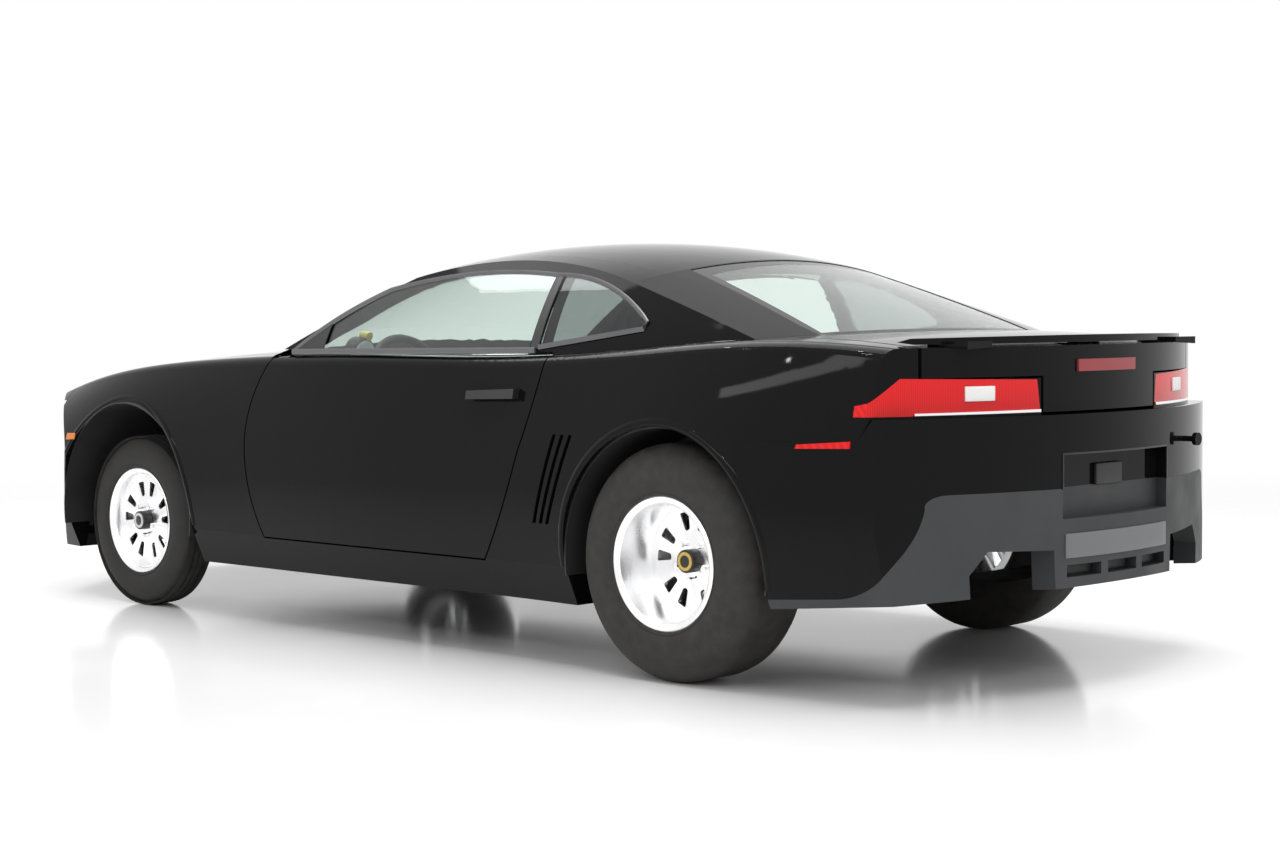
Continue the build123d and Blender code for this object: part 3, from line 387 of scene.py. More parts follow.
# Modelling helpers

MERGE_DISTANCE = 0.00001
SMOOTH_ANGLE = math.radians(40)
# Section of a moulding, as shares of its half width and half height
STRIP_SECTION = ((-1, -1), (1, -1), (1, 0.4), (0.5, 1), (-0.5, 1), (-1, 0.4))
PLATE_ROWS = 5
PLATE_EDGE = 0.002


def pick(obj):
    """Make one object the only selected one."""
    bpy.ops.object.select_all(action="DESELECT")
    obj.select_set(True)
    bpy.context.view_layer.objects.active = obj


def apply_all(obj):
    """Apply every modifier and the object's own placing."""
    pick(obj)
    for modifier in list(obj.modifiers):
        bpy.ops.object.modifier_apply(modifier=modifier.name)
    bpy.ops.object.transform_apply(location=True, rotation=True, scale=True)


def tidy_normals(obj):
    """Merge doubles and turn every face outwards."""
    pick(obj)
    bpy.ops.object.mode_set(mode="EDIT")
    bpy.ops.mesh.select_all(action="SELECT")
    bpy.ops.mesh.remove_doubles(threshold=MERGE_DISTANCE)
    bpy.ops.mesh.normals_make_consistent(inside=False)
    bpy.ops.object.mode_set(mode="OBJECT")


def capped(obj, sides):
    """Close the open ends that have up to this many sides, or every one with 0."""
    pick(obj)
    bpy.ops.object.mode_set(mode="EDIT")
    bpy.ops.mesh.select_all(action="SELECT")
    bpy.ops.mesh.fill_holes(sides=sides)
    bpy.ops.object.mode_set(mode="OBJECT")
    tidy_normals(obj)


def thickened(obj, wall, offset=0.0):
    """Give a sheet its wall, on both sides or towards one."""
    solid = obj.modifiers.new("wall", "SOLIDIFY")
    solid.thickness = wall
    solid.offset = offset
    apply_all(obj)


def bevelled(obj, width, segments=3, angle=30):
    """Round the edges that are sharper than an angle."""
    modifier = obj.modifiers.new("edge", "BEVEL")
    modifier.width = width
    modifier.segments = segments
    modifier.limit_method = "ANGLE"
    modifier.angle_limit = math.radians(angle)
    apply_all(obj)


def seated(obj, name, body, material, replaced=()):
    """Name a finished piece, give it its finish and tie it to its body."""
    obj.name = name
    obj.data.name = name
    obj.data.materials.clear()
    obj.data.materials.append(MATERIALS[material])
    pick(obj)
    bpy.ops.object.shade_smooth_by_angle(angle=SMOOTH_ANGLE)
    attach(obj, body)
    if replaced:
        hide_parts(*replaced)
    return obj


def block(low, high, bevel):
    """A cuboid between two corners with rounded edges."""
    middle = [(a + b) / 2 for a, b in zip(low, high)]
    bpy.ops.object.select_all(action="DESELECT")
    bpy.ops.mesh.primitive_cube_add(size=1, location=middle)
    obj = bpy.context.object
    obj.scale = [b - a for a, b in zip(low, high)]
    apply_all(obj)
    bevelled(obj, bevel)
    return obj


def rod(centre, axis, radius, length, bevel, sides=32):
    """A cylinder about a point with rounded ends."""
    bpy.ops.object.select_all(action="DESELECT")
    bpy.ops.mesh.primitive_cylinder_add(vertices=sides, radius=radius, depth=length, location=centre)
    obj = bpy.context.object
    obj.rotation_euler = Vector(axis).to_track_quat("Z", "Y").to_euler()
    apply_all(obj)
    bevelled(obj, bevel, angle=50)
    return obj


def joined(objects):
    """Join objects into the first one."""
    pick(objects[0])
    for other in objects[1:]:
        other.select_set(True)
    bpy.ops.object.join()
    return bpy.context.object


def from_rows(rows, closed=False):
    """A sheet of quads through rows of points."""
    width = len(rows[0])
    points = [point for row in rows for point in row]
    faces = []
    for row in range(len(rows) - 1):
        for column in range(width - 1 + closed):
            right = (column + 1) % width
            low, high = row * width, (row + 1) * width
            faces.append((low + column, low + right, high + right, high + column))
    mesh = bpy.data.meshes.new("sheet")
    mesh.from_pydata(points, [], faces)
    obj = bpy.data.objects.new("sheet", mesh)
    bpy.context.collection.objects.link(obj)
    return obj


def spun(profile, centre, steps=96):
    """Turn a closed profile of radius and y steps about a wheel's axle."""
    points = [(centre[0] + radius, centre[1] + y, centre[2]) for radius, y in profile]
    mesh = bpy.data.meshes.new("profile")
    count = len(points)
    mesh.from_pydata(points, [(i, (i + 1) % count) for i in range(count)], [])
    obj = bpy.data.objects.new("profile", mesh)
    bpy.context.collection.objects.link(obj)
    pick(obj)
    bpy.ops.object.mode_set(mode="EDIT")
    bpy.ops.mesh.select_all(action="SELECT")
    bpy.ops.mesh.spin(steps=steps, angle=2 * math.pi, center=centre, axis=ACROSS)
    bpy.ops.object.mode_set(mode="OBJECT")
    tidy_normals(obj)
    return obj


def strip(points, half_width, half_height, across):
    """A flat moulding along points, as wide along one direction and as thick across it as given."""
    across = Vector(across).normalized()
    rows = []
    count = len(points)
    for index, point in enumerate(points):
        before = Vector(points[max(index - 1, 0)])
        after = Vector(points[min(index + 1, count - 1)])
        along = (after - before).normalized()
        wide = (across - along * across.dot(along)).normalized()
        proud = along.cross(wide)
        here = Vector(point)
        rows.append([here + wide * half_width * a + proud * half_height * b for a, b in STRIP_SECTION])
    obj = from_rows(rows, closed=True)
    capped(obj, 8)
    return obj


def between(first, last, count):
    """Evenly spaced points from one point to another."""
    steps = range(count)
    return [tuple(a + (b - a) * step / (count - 1) for a, b in zip(first, last)) for step in steps]


def arc_points(start, through, end, count):
    """Points on the circular arc through three (x, z) points."""
    (ax, az), (bx, bz), (cx, cz) = start, through, end
    d = 2 * (ax * (bz - cz) + bx * (cz - az) + cx * (az - bz))
    sa, sb, sc = ax * ax + az * az, bx * bx + bz * bz, cx * cx + cz * cz
    ux = (sa * (bz - cz) + sb * (cz - az) + sc * (az - bz)) / d
    uz = (sa * (cx - bx) + sb * (ax - cx) + sc * (bx - ax)) / d
    first = math.atan2(az - uz, ax - ux)
    turn = math.atan2(cz - uz, cx - ux) - first
    mid_turn = math.atan2(bz - uz, bx - ux) - first
    tau = 2 * math.pi
    turn, mid_turn = turn % tau, mid_turn % tau
    if mid_turn > turn:
        turn -= tau
    radius = math.hypot(ax - ux, az - uz)
    steps = [first + turn * i / (count - 1) for i in range(count)]
    return [(ux + radius * math.cos(a), uz + radius * math.sin(a)) for a in steps]


def house_y(x, z):
    """Half width of the greenhouse's side at a point."""
    (x0, w0), (x1, w1), (x2, w2) = TUMBLE
    base = (
        w0 * (x - x1) * (x - x2) / ((x0 - x1) * (x0 - x2))
        + w1 * (x - x0) * (x - x2) / ((x1 - x0) * (x1 - x2))
        + w2 * (x - x0) * (x - x1) / ((x2 - x0) * (x2 - x1))
    )
    height = z - HOUSE_BASE_Z
    return base - LEAN[0] * height - LEAN[1] * height * height


def on_house(points, side, proud):
    """Points of the side view laid on the greenhouse's side, standing proud of it."""
    return [(x, side * (house_y(x, z) + proud), z) for x, z in points]


def tail_x(y, inset):
    """The rear face's x at a distance from the centre plane."""
    return TAIL_X + inset + TAIL_R - math.sqrt(TAIL_R**2 - y**2)


def rear_plate(ends, inset, wall, columns=17):
    """A plate on the rear face: its ends are a y with the low and high z there."""
    rows = []
    for step in range(PLATE_ROWS):
        row = []
        for y, low, high in between(*ends, columns):
            row.append((tail_x(y, inset), y, low + (high - low) * step / (PLATE_ROWS - 1)))
        rows.append(row)
    obj = from_rows(rows)
    thickened(obj, wall)
    tidy_normals(obj)
    bevelled(obj, min(PLATE_EDGE, wall / 3), 2)
    return obj


# Pieces


class COUPE_OT_finishes(bpy.types.Operator):
    """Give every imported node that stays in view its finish"""

    bl_idname = "coupe.finishes"
    bl_label = "Finishes"

    def execute(self, context):
        make_materials()
        for key, names in NODE_FINISH.items():
            for name in names.split():
                slots = cad(name).data.materials
                slots.clear()
                slots.append(MATERIALS[key])
        return {"FINISHED"}


# Turned barrel and lip: drop from the lip's radius, outer (1) or inner (-1) edge,
# inset from that edge and share of the dish
RIM_PROFILE = (
    (0.016, 1, 0.002, 0.0),
    (0.006, 1, 0.0, 0.0),
    (0.001, 1, 0.004, 0.0),
    (0.0, 1, 0.009, 0.0),
    (0.017, 1, 0.012, 0.0),
    (0.021, 1, 0.040, 0.0),
    (0.021, -1, 0.040, 0.0),
    (0.017, -1, 0.012, 0.0),
    (0.0, -1, 0.008, 0.0),
    (0.002, -1, 0.0, 0.0),
    (0.027, -1, 0.0, 0.0),
    (0.030, 1, 0.016, 1.0),
    (0.030, 1, 0.0, 0.75),
    (0.026, 1, 0.0, 0.30),
    (0.024, 1, 0.010, 0.0),
)
# Wheel face: drop of its edge from the lip's radius, wall, rounded edges, and the windows' outline and turns
DISC_DROP = 0.027
DISC_WALL = 0.014
DISC_EDGE = 0.002
WINDOW = ((0.093, -0.009), (0.152, -0.019), (0.150, 0.017), (0.096, 0.010))
WINDOW_REACH = 0.04
WINDOW_ROUND = 0.007
WINDOW_EDGE = 0.0015
WINDOW_TURNS = (90 - 15, 90 + 15)
# Lug nuts and centre cap
LUG_TURN = math.radians(126)
LUG_R = 0.0105
LUG_LENGTH = 0.026
LUG_OUT = 0.012
LUG_EDGE = 0.002
CAP_R = 0.036
CAP_LENGTH = 0.040
CAP_EDGE = 0.004
# Ring on the cap: radius and distance from the wheel's face
CAP_RING = ((0.018, 0.039), (0.030, 0.039), (0.029, 0.042), (0.019, 0.042))
# Side wall of a tyre: share of its height, further radius, and inset from its widest
TYRE_SIDE = (
    (0.0, -0.006, 0.014),
    (0.0, 0.004, 0.004),
    (0.0, 0.010, 0.006),
    (0.0, 0.016, 0.002),
    (0.30, 0.0, 0.0),
    (0.50, 0.0, 0.0015),
    (0.68, 0.0, 0.007),
    (0.82, 0.0, 0.018),
    (0.92, 0.0, 0.034),
)
# Tread: share of the half width at its edge; then the two points that round that edge, by their heights
# (a share of the wall, a drop from the radius) and by their distances outside and inside it
TREAD_SHARE = {"front": 0.70, "rear": 0.62}
TREAD_EDGE = (0.975, 0.0005)
TREAD_ROUND = (0.006, 0.012)
GROOVES = (0.027, 0.0, -0.027)
GROOVE_HALF = 0.004
GROOVE_FOOT = 0.003


def wheel_rim(centre, radius, half, dish, side):
    """The turned barrel and lip of a wheel, outer side towards side."""
    profile = []
    for drop, edge, inset, share in RIM_PROFILE:
        profile.append((radius - drop, side * edge * (half - inset - share * dish)))
    return spun(profile, centre)


def wheel_face(centre, radius, outer_y, side):
    """The wheel's centre disc with pairs of tapered windows."""
    middle = (centre[0], outer_y - side * DISC_WALL / 2, centre[2])
    disc = rod(middle, ACROSS, radius - DISC_DROP, DISC_WALL, DISC_EDGE, 96)
    cutters = []
    count = sizes().lugs
    for index in range(count):
        for start in WINDOW_TURNS:
            turn = math.radians(start) + index * 2 * math.pi / count
            rows = []
            for depth in (-WINDOW_REACH, WINDOW_REACH):
                rows.append([(out, depth, across) for out, across in WINDOW])
            cutter = from_rows(rows, closed=True)
            capped(cutter, 4)
            bevelled(cutter, WINDOW_ROUND, 4, 50)
            place = Matrix.Translation((centre[0], outer_y, centre[2]))
            cutter.matrix_world = place @ Matrix.Rotation(-turn, 4, "Y")
            apply_all(cutter)
            cutters.append(cutter)
    tool = joined(cutters)
    cut = disc.modifiers.new("windows", "BOOLEAN")
    cut.object = tool
    cut.solver = "EXACT"
    apply_all(disc)
    bpy.data.objects.remove(tool, do_unlink=True)
    bevelled(disc, WINDOW_EDGE, 2, 50)
    return disc


class COUPE_OT_wheels(bpy.types.Operator):
    """Turn the four wheels, their lug nuts and centre caps, and their tyres"""

    bl_idname = "coupe.wheels"
    bl_label = "Wheels"

    def execute(self, context):
        size = sizes()
        for end, dish in (("front", size.dish_front), ("rear", size.dish_rear)):
            for name, side in SIDES:
                self.dress(end, name, side, dish)
                self.tyre(end, name)
        return {"FINISHED"}

    def dress(self, end, name, side, dish):
        """The metal of one wheel, with its nuts and cap."""
        size = sizes()
        node = f"{end}_rim_{name}"
        body = f"{end}_wheel_{name}"
        low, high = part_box(node)
        centre = middle_of(node)
        half = (high[1] - low[1]) / 2
        radius = (high[2] - low[2]) / 2
        face_y = centre[1] + side * (half - dish)
        rim = wheel_rim(centre, radius, half, dish, side)
        face = wheel_face(centre, radius, face_y, side)
        metal = joined([rim, face])
        seated(metal, f"{end}_wheel_metal_{name}", body, "polish", [node])

        nuts = []
        for index in range(size.lugs):
            angle = LUG_TURN + index * 2 * math.pi / size.lugs
            spot = (
                centre[0] + size.lug_circle * math.cos(angle),
                face_y + side * LUG_OUT,
                centre[2] + size.lug_circle * math.sin(angle),
            )
            nuts.append(rod(spot, ACROSS, LUG_R, LUG_LENGTH, LUG_EDGE, 6))
        seated(joined(nuts), f"{end}_lug_nuts_{name}", body, "chrome")
        cap_at = (centre[0], face_y + side * CAP_LENGTH / 2, centre[2])
        cap = rod(cap_at, ACROSS, CAP_R, CAP_LENGTH, CAP_EDGE, 48)
        seated(cap, f"{end}_centre_cap_{name}", body, "satin")
        ring = spun([(r, side * out) for r, out in CAP_RING], (centre[0], face_y, centre[2]), 48)
        seated(ring, f"{end}_cap_ring_{name}", body, "gold" if end == "rear" else "machined")

    def tyre(self, end, name):
        """One tyre: a smooth slick behind, a grooved one in front."""
        node = f"{end}_tyre_{name}"
        low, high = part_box(node)
        rim_low, rim_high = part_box(f"{end}_rim_{name}")
        half = (high[1] - low[1]) / 2
        radius = (high[2] - low[2]) / 2
        bead = (rim_high[2] - rim_low[2]) / 2
        wall = radius - bead
        tread = half * TREAD_SHARE[end]
        side = [(bead + share * wall + further, half - inset) for share, further, inset in TYRE_SIDE]
        side.append((bead + TREAD_EDGE[0] * wall, tread + TREAD_ROUND[0]))
        side.append((radius - TREAD_EDGE[1], tread - TREAD_ROUND[1]))
        crown = [(radius, 0.0)]
        if end == "front":
            foot = radius - sizes().groove_depth
            crown = []
            for mid in GROOVES:
                crown += [(radius, mid + GROOVE_HALF), (foot, mid + GROOVE_FOOT)]
                crown += [(foot, mid - GROOVE_FOOT), (radius, mid - GROOVE_HALF)]
        profile = side + crown + [(r, -y) for r, y in reversed(side)]
        rubber = spun(profile, middle_of(node), 128)
        finish_key = "slick" if end == "rear" else "tread"
        seated(rubber, f"{end}_tyre_rubber_{name}", f"{end}_wheel_{name}", finish_key, [node])


# Window outlines as (x, z) points in the side view
WINDOW_TOP = (
    ((MID_X + 0.446, 0.990), (MID_X + 0.270, 1.101), (MID_X + 0.035, 1.209)),
    ((MID_X + 0.035, 1.209), (MID_X - 0.365, 1.258), (MID_X - 0.757, 1.247)),
    ((MID_X - 0.757, 1.247), (MID_X - 0.995, 1.212), (MID_X - 1.240, 1.092)),
)
QUARTER_FOOT = ((MID_X - 1.236, 1.072), (MID_X - 0.810, 1.014))
BELT = ((MID_X + 0.446, 0.992), (MID_X - 0.800, 1.004))
# Post between door and quarter glass, and the corner plate ahead of the door glass with its top edge and foot
POST = ((MID_X - 0.792, 1.008), (MID_X - 0.772, 1.240))
CORNER_TOP = ((MID_X + 0.425, 1.002), (MID_X + 0.275, 1.090))
CORNER_FOOT_Z = 0.998
CORNER_PROUD = 0.001
CORNER_WALL = 0.003
# How far the mouldings stand proud, and their half widths and half heights
TRIM_PROUD = 0.002
TRIM_HEIGHT = 0.004
BELT_PROUD = 0.003
BELT_SIZE = (0.010, 0.005)
POST_SIZE = (0.018, 0.003)


class COUPE_OT_trim(bpy.types.Operator):
    """Run the mouldings around the side windows and along the belt"""

    bl_idname = "coupe.trim"
    bl_label = "Window trim"

    def execute(self, context):
        width = sizes().trim_width
        path = []
        for start, through, end in WINDOW_TOP:
            path += arc_points(start, through, end, 15)[(1 if path else 0):]
        path += between(*QUARTER_FOOT, 9)
        for name, side in SIDES:
            door = f"door_{name}"
            trim = strip(on_house(path, side, TRIM_PROUD), width, TRIM_HEIGHT, UPRIGHT)
            seated(trim, f"window_trim_{name}", "root", "grey_trim")
            belt = strip(on_house(between(*BELT, 25), side, BELT_PROUD), *BELT_SIZE, UPRIGHT)
            seated(belt, f"belt_moulding_{name}", door, "grey_trim")
            corner = []
            for x, top_z in between(*CORNER_TOP, 7):
                rise = between((x, CORNER_FOOT_Z), (x, top_z), 5)
                corner.append(on_house(rise, side, CORNER_PROUD))
            pane = from_rows(corner)
            tidy_normals(pane)
            thickened(pane, CORNER_WALL)
            seated(pane, f"window_corner_{name}", door, "satin")
            post = strip(on_house(between(*POST, 9), side, TRIM_PROUD), *POST_SIZE, (1, 0, 0))
            seated(post, f"window_post_{name}", "root", "satin")
        return {"FINISHED"}


# Wheel arches: end, radius, and the panels that the arch cuts
ARCHES = (
    ("front", 0.437, ("fender_{}", "front_bumper")),
    ("rear", 0.425, ("quarter_{}", "rear_bumper")),
)
ARCH_Z = 0.362
# Arch lip: first and last angle, steps, wall, and its section as distances out from the arch and proud
# of the panel
LIP_TURN = (-8, 186)
LIP_STEPS = 60
LIP_SECTION = ((-0.006, -0.03), (-0.006, 0.002), (0.002, 0.005), (0.012, 0.004), (0.022, -0.003))
LIP_WALL = 0.002
# Where beside the arch the panel is felt, from how far out, and the least that counts as the car's side
FEEL_OUT = 0.014
FEEL_FROM_Y = 1.5
SIDE_LEAST_Y = 0.7


def skin_y(x, z, side, nodes):
    """How far out the named panels reach at a point of the side view."""
    reach = []
    for node in nodes:
        found, spot, _, _ = cad(node).ray_cast((x, side * FEEL_FROM_Y, z), (0, -side, 0))
        if found and spot[1] * side > SIDE_LEAST_Y:
            reach.append(abs(spot[1]))
    return max(reach, default=0.0)


class COUPE_OT_arches(bpy.types.Operator):
    """Run a rolled lip around each wheel arch"""

    bl_idname = "coupe.arches"
    bl_label = "Arch lips"

    def execute(self, context):
        for end, radius, panels in ARCHES:
            for name, side in SIDES:
                middle = middle_of(f"{end}_tyre_{name}")[0]
                nodes = [panel.format(name) for panel in panels]
                lip = from_rows(self.lip_rows(middle, radius, side, nodes))
                tidy_normals(lip)
                thickened(lip, LIP_WALL, -1.0)
                seated(lip, f"{end}_arch_lip_{name}", "root", "paint")
        return {"FINISHED"}

    def lip_rows(self, middle, radius, side, nodes):
        """Rows of points across the lip, wherever a panel stands behind it."""
        first, last = LIP_TURN
        rows = []
        for step in range(LIP_STEPS + 1):
            angle = math.radians(first + (last - first) * step / LIP_STEPS)
            along, up = math.cos(angle), math.sin(angle)
            felt = radius + FEEL_OUT
            reach = skin_y(middle + felt * along, ARCH_Z + felt * up, side, nodes)
            if reach:
                row = []
                for out, proud in LIP_SECTION:
                    arm = radius + out
                    row.append((middle + arm * along, side * (reach + proud), ARCH_Z + arm * up))
                rows.append(row)
        return rows


# Plates on the rear face, each as two ends: y, and the low and high z there
LAMP_STRIP = ((0.315, 0.823, 0.834), (0.740, 0.823, 0.832))
REVERSE_WINDOW = ((0.485, 0.862, 0.905), (0.585, 0.862, 0.905))
RECESS_EDGES = (
    ((-0.285, 0.700, 0.706), (0.285, 0.700, 0.706)),
    ((-0.288, 0.600, 0.706), (-0.283, 0.600, 0.706)),
    ((0.283, 0.600, 0.706), (0.288, 0.600, 0.706)),
)
SKIRT_PANEL = ((-0.275, 0.398, 0.470), (0.275, 0.398, 0.470))
SLOT_Y = (-0.19, 0.0, 0.19)
SLOT_HALF = 0.074
SLOT_Z = (0.346, 0.374)
# How far into the car from its rear face the plates stand (below 0 is proud of it), and their walls
STRIP_INSET = LAMP_PANEL_INSET - 0.004
WINDOW_INSET = LAMP_PANEL_INSET - 0.002
FACE_INSET = -0.001
SLOT_INSET = 0.034
PLATE_WALL = 0.006
RECESS_WALL = 0.004
# Bracket in the plate recess: two corners and its rounded edge
BRACKET = ((TAIL_X + 0.046, -0.070, 0.600), (TAIL_X + 0.060, 0.070, 0.665))
BRACKET_EDGE = 0.004


class COUPE_OT_rear(bpy.types.Operator):
    """Dress the rear: lamp strips and windows, plate recess, skirt panel and skirt slots"""

    bl_idname = "coupe.rear"
    bl_label = "Rear dressing"

    def execute(self, context):
        for name, side in SIDES:
            ends = [(side * y, low, high) for y, low, high in LAMP_STRIP]
            chrome = rear_plate(ends, STRIP_INSET, PLATE_WALL)
            seated(chrome, f"lamp_strip_{name}", "root", "chrome")
            ends = [(side * y, low, high) for y, low, high in REVERSE_WINDOW]
            window = rear_plate(ends, WINDOW_INSET, PLATE_WALL, 9)
            seated(window, f"reverse_window_{name}", "root", "white_lens")
        seated(block(*BRACKET, BRACKET_EDGE), "plate_bracket", "root", "plastic")
        edges = [rear_plate(ends, FACE_INSET, RECESS_WALL, 9) for ends in RECESS_EDGES]
        seated(joined(edges), "plate_recess_edge", "root", "satin")
        panel = rear_plate(SKIRT_PANEL, FACE_INSET, PLATE_WALL)
        seated(panel, "skirt_panel", "root", "pale")
        slots = []
        for y in SLOT_Y:
            ends = ((y - SLOT_HALF, *SLOT_Z), (y + SLOT_HALF, *SLOT_Z))
            slots.append(rear_plate(ends, SLOT_INSET, PLATE_WALL, 9))
        seated(joined(slots), "skirt_slots", "root", "plastic")
        return {"FINISHED"}


# Seats: outline from the cushion's front foot over the back and down again, as (x, z) points
SEAT_LOW, SEAT_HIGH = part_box("seats")
SEAT_PATH = (
    (SEAT_HIGH[0] - 0.01, 0.30),
    (SEAT_HIGH[0] - 0.01, 0.44),
    (SEAT_HIGH[0] - 0.08, 0.475),
    (MID_X - 0.10, 0.455),
    (MID_X - 0.28, 0.445),
    (MID_X - 0.335, 0.50),
    (MID_X - 0.40, 0.68),
    (MID_X - 0.455, 0.84),
    (MID_X - 0.49, 0.905),
    (MID_X - 0.55, 0.915),
    (SEAT_LOW[0] + 0.005, 0.88),
    (MID_X - 0.53, 0.70),
    (MID_X - 0.45, 0.40),
    (MID_X - 0.40, 0.27),
)
SEAT_HALF = 0.235
SEAT_INSET = 0.006
SEAT_COLUMNS = 13
# Bolsters: height, the share of the half width where they start, their lowest z, their last x, and their lean
BOLSTER = 0.045
BOLSTER_START = 0.55
BOLSTER_LOW_Z = 0.44
BOLSTER_BACK_X = MID_X - 0.5
BOLSTER_LEAN = (0.5, 0.6)
# Tachometer: its middle and axis; then each round piece by offset, axis, radius, length, rounded edge
# and sides
GAUGE = (MID_X + 0.47, 0.52, 0.985)
GAUGE_AXIS = (1, 0, 0.15)
GAUGE_CASE = ((0.0, 0.0, 0.0), GAUGE_AXIS, 0.050, 0.060, 0.006, 48)
GAUGE_STALK = ((0.01, 0.0, -0.055), UPRIGHT, 0.012, 0.110, 0.002, 32)
GAUGE_DIAL = ((-0.0315, 0.0, -0.005), GAUGE_AXIS, 0.043, 0.004, 0.001, 48)
SHIFT_LIGHT = ((-0.02, -0.015, 0.056), GAUGE_AXIS, 0.017, 0.045, 0.004, 32)


def seat_shell(middle):
    """One bolstered seat about its middle y."""
    rows = []
    for x, z in SEAT_PATH:
        row = []
        for step in range(SEAT_COLUMNS):
            share = 2 * step / (SEAT_COLUMNS - 1) - 1
            bolster = BOLSTER * max(0.0, abs(share) - BOLSTER_START) / (1 - BOLSTER_START)
            lift = bolster if z > BOLSTER_LOW_Z and x > BOLSTER_BACK_X else 0.0
            out = middle + share * (SEAT_HALF - SEAT_INSET)
            row.append((x + lift * BOLSTER_LEAN[0], out, z + lift * BOLSTER_LEAN[1]))
        rows.append(row)
    seat = from_rows(rows)
    capped(seat, 0)
    smooth = seat.modifiers.new("smooth", "SUBSURF")
    smooth.levels = 2
    smooth.render_levels = 2
    apply_all(seat)
    return seat


def gauge_rod(offset, axis, radius, length, bevel, sides):
    """A round piece of the tachometer, placed from its middle."""
    return rod([a + b for a, b in zip(GAUGE, offset)], axis, radius, length, bevel, sides)


class COUPE_OT_cabin(bpy.types.Operator):
    """Model the seats and the tachometer with its shift light"""

    bl_idname = "coupe.cabin"
    bl_label = "Cabin"

    def execute(self, context):
        seats = [seat_shell(side * (SEAT_HIGH[1] - SEAT_HALF)) for side in (-1, 1)]
        pair = seated(joined(seats), "seat_pair", "root", "cloth", ["seats"])
        case = joined([gauge_rod(*GAUGE_CASE), gauge_rod(*GAUGE_STALK)])
        seated(case, "tachometer", "root", "trim")
        seated(gauge_rod(*GAUGE_DIAL), "tachometer_dial", "root", "dial")
        seated(gauge_rod(*SHIFT_LIGHT), "shift_light", "root", "yellow")
        return {"FINISHED"}


# Stage: the camera's place, turns and lens as fitted to the photograph
CAMERA_AT = (-6.0891, 5.9064, 1.1151)
CAMERA_YAW = math.radians(-46.1999)
CAMERA_PITCH = math.radians(-2.8096)
CAMERA_ROLL = math.radians(-0.4142)
CAMERA_REACH = 200
FOCAL_PIXELS = 2285.095
PHOTO_WIDTH = 1280
SENSOR = 36.0
FLOOR_SIZE = 120
# Where the floor starts to fade into the surround, and where it has faded
FLOOR_FADE = (3.6, 8.5)
# Soft lamps: name, place, aim, sizes, power and whether the paint mirrors them
SOFT_LAMPS = (
    ("overhead_softbox", (0, 0, 5.5), (0, 0, 0), (9, 5), 480, True),
    ("rear_softbox", (-7, 1.5, 3.5), (-1.5, 0, 0.8), (4, 2.5), 90, False),
    ("side_strip", (-1.0, 8.0, 5.0), (0, 0, 0.6), (13, 0.5), 120, True),
)
# Small ceiling lamps that glint on the shoulders
CEILING_LAMPS = [(x, y, 6.0) for x in (-9.0, -6.0, -3.0, 0.0, 3.0) for y in (2.5, 4.5, 6.5, 8.5)]
CEILING_LAMP_SIZE = 0.13
CEILING_LAMP_POWER = 7
# Strength of the surround as light on the car, and as it is seen and mirrored
SURROUND_LIGHT = 0.58
SURROUND_SEEN = 1.0


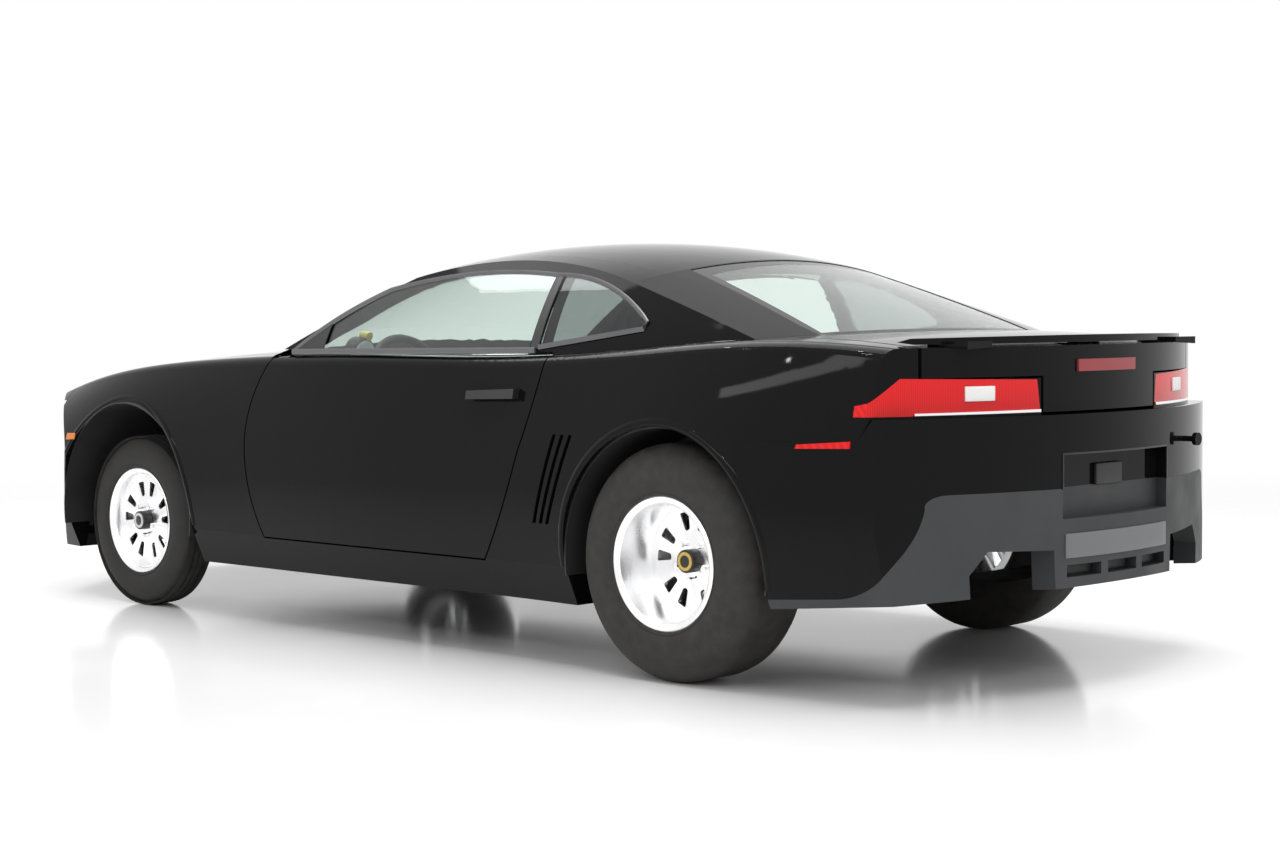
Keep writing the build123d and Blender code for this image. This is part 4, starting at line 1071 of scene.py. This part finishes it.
class COUPE_OT_stage(bpy.types.Operator):
    """Set the camera at the photograph's place, the pale floor, the soft lamps and the white surround"""

    bl_idname = "coupe.stage"
    bl_label = "Stage"

    def execute(self, context):
        scene = context.scene
        scene.view_settings.view_transform = "Standard"
        self.camera(scene)
        self.floor()
        self.lamps(scene)
        self.surround(scene)
        return {"FINISHED"}

    def camera(self, scene):
        forward = Vector(
            (
                math.cos(CAMERA_PITCH) * math.cos(CAMERA_YAW),
                math.cos(CAMERA_PITCH) * math.sin(CAMERA_YAW),
                math.sin(CAMERA_PITCH),
            )
        )
        right = forward.cross(Vector(UPRIGHT)).normalized()
        up = right.cross(forward)
        tilted = right * math.cos(CAMERA_ROLL) + up * math.sin(CAMERA_ROLL)
        upright = up * math.cos(CAMERA_ROLL) - right * math.sin(CAMERA_ROLL)
        data = bpy.data.cameras.new("photo_camera")
        data.sensor_fit = "HORIZONTAL"
        data.sensor_width = SENSOR
        data.lens = FOCAL_PIXELS / PHOTO_WIDTH * SENSOR
        data.clip_end = CAMERA_REACH
        camera = bpy.data.objects.new("photo_camera", data)
        scene.collection.objects.link(camera)
        turn = Matrix((tilted, upright, -forward)).transposed().to_4x4()
        camera.matrix_world = Matrix.Translation(CAMERA_AT) @ turn
        scene.camera = camera

    def floor(self):
        bpy.ops.object.select_all(action="DESELECT")
        bpy.ops.mesh.primitive_plane_add(size=FLOOR_SIZE, location=(0, 0, 0))
        floor = bpy.context.object
        floor.name = "studio_floor"
        material, tree, main, coords = shader("pale_studio_floor")
        main.inputs["Base Color"].default_value = (*colours().floor, 1.0)
        tree.links.new(spread(tree, noise(tree, coords, 1.5), 0.10, 0.16), main.inputs["Roughness"])
        reach = tree.nodes.new("ShaderNodeVectorMath")
        reach.operation = "LENGTH"
        tree.links.new(coords.outputs["Object"], reach.inputs[0])
        tree.links.new(spread(tree, reach.outputs["Value"], 1.0, 0.0, *FLOOR_FADE), main.inputs["Alpha"])
        floor.data.materials.append(material)

    def lamps(self, scene):
        for name, place, aim, size, power, mirrored in SOFT_LAMPS:
            data = bpy.data.lights.new(name, "AREA")
            data.shape = "RECTANGLE"
            data.size, data.size_y = size
            data.energy = power
            lamp = bpy.data.objects.new(name, data)
            lamp.location = place
            direction = Vector(aim) - Vector(place)
            lamp.rotation_euler = direction.to_track_quat("-Z", "Y").to_euler()
            lamp.visible_glossy = mirrored
            scene.collection.objects.link(lamp)
        for number, place in enumerate(CEILING_LAMPS):
            data = bpy.data.lights.new(f"ceiling_lamp_{number}", "AREA")
            data.shape = "DISK"
            data.size = CEILING_LAMP_SIZE
            data.energy = CEILING_LAMP_POWER
            lamp = bpy.data.objects.new(data.name, data)
            lamp.location = place
            scene.collection.objects.link(lamp)

    def surround(self, scene):
        world = bpy.data.worlds.new("white_surround")
        scene.world = world
        world.use_nodes = True
        tree = world.node_tree
        background = tree.nodes["Background"]
        path = tree.nodes.new("ShaderNodeLightPath")
        seen = tree.nodes.new("ShaderNodeMath")
        seen.operation = "MAXIMUM"
        tree.links.new(path.outputs["Is Camera Ray"], seen.inputs[0])
        tree.links.new(path.outputs["Is Glossy Ray"], seen.inputs[1])
        through = tree.nodes.new("ShaderNodeMath")
        through.operation = "MAXIMUM"
        tree.links.new(seen.outputs[0], through.inputs[0])
        tree.links.new(path.outputs["Is Transmission Ray"], through.inputs[1])
        level = tree.nodes.new("ShaderNodeMapRange")
        level.inputs["To Min"].default_value = SURROUND_LIGHT
        level.inputs["To Max"].default_value = SURROUND_SEEN
        tree.links.new(through.outputs[0], level.inputs["Value"])
        background.inputs["Color"].default_value = (1, 1, 1, 1)
        tree.links.new(level.outputs["Result"], background.inputs["Strength"])


class COUPE_PT_panel(bpy.types.Panel):
    """Shows the car's sizes, its colours and the buttons that dress it in the sidebar"""

    bl_label = "Coupe"
    bl_idname = "COUPE_PT_panel"
    bl_space_type = "VIEW_3D"
    bl_region_type = "UI"
    bl_category = "Coupe"

    def draw(self, context):
        for group in (context.scene.coupe_sizes, context.scene.coupe_colours):
            for prop in group.bl_rna.properties:
                if prop.identifier not in {"rna_type", "name"}:
                    self.layout.prop(group, prop.identifier)
        for operator in OPERATORS:
            self.layout.operator(operator.bl_idname)


OPERATORS = (
    COUPE_OT_stage,
    COUPE_OT_finishes,
    COUPE_OT_wheels,
    COUPE_OT_trim,
    COUPE_OT_arches,
    COUPE_OT_rear,
    COUPE_OT_cabin,
)
CLASSES = (CoupeSizes, CoupeColours, *OPERATORS, COUPE_PT_panel)


def register():
    for cls in CLASSES:
        bpy.utils.register_class(cls)
    bpy.types.Scene.coupe_sizes = bpy.props.PointerProperty(type=CoupeSizes)
    bpy.types.Scene.coupe_colours = bpy.props.PointerProperty(type=CoupeColours)


def unregister():
    del bpy.types.Scene.coupe_colours
    del bpy.types.Scene.coupe_sizes
    for cls in reversed(CLASSES):
        bpy.utils.unregister_class(cls)


def main():
    register()
    bpy.ops.coupe.stage()
    bpy.ops.coupe.finishes()
    bpy.ops.coupe.wheels()
    bpy.ops.coupe.trim()
    bpy.ops.coupe.arches()
    bpy.ops.coupe.rear()
    bpy.ops.coupe.cabin()
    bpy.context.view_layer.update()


if __name__ == "__main__":
    main()
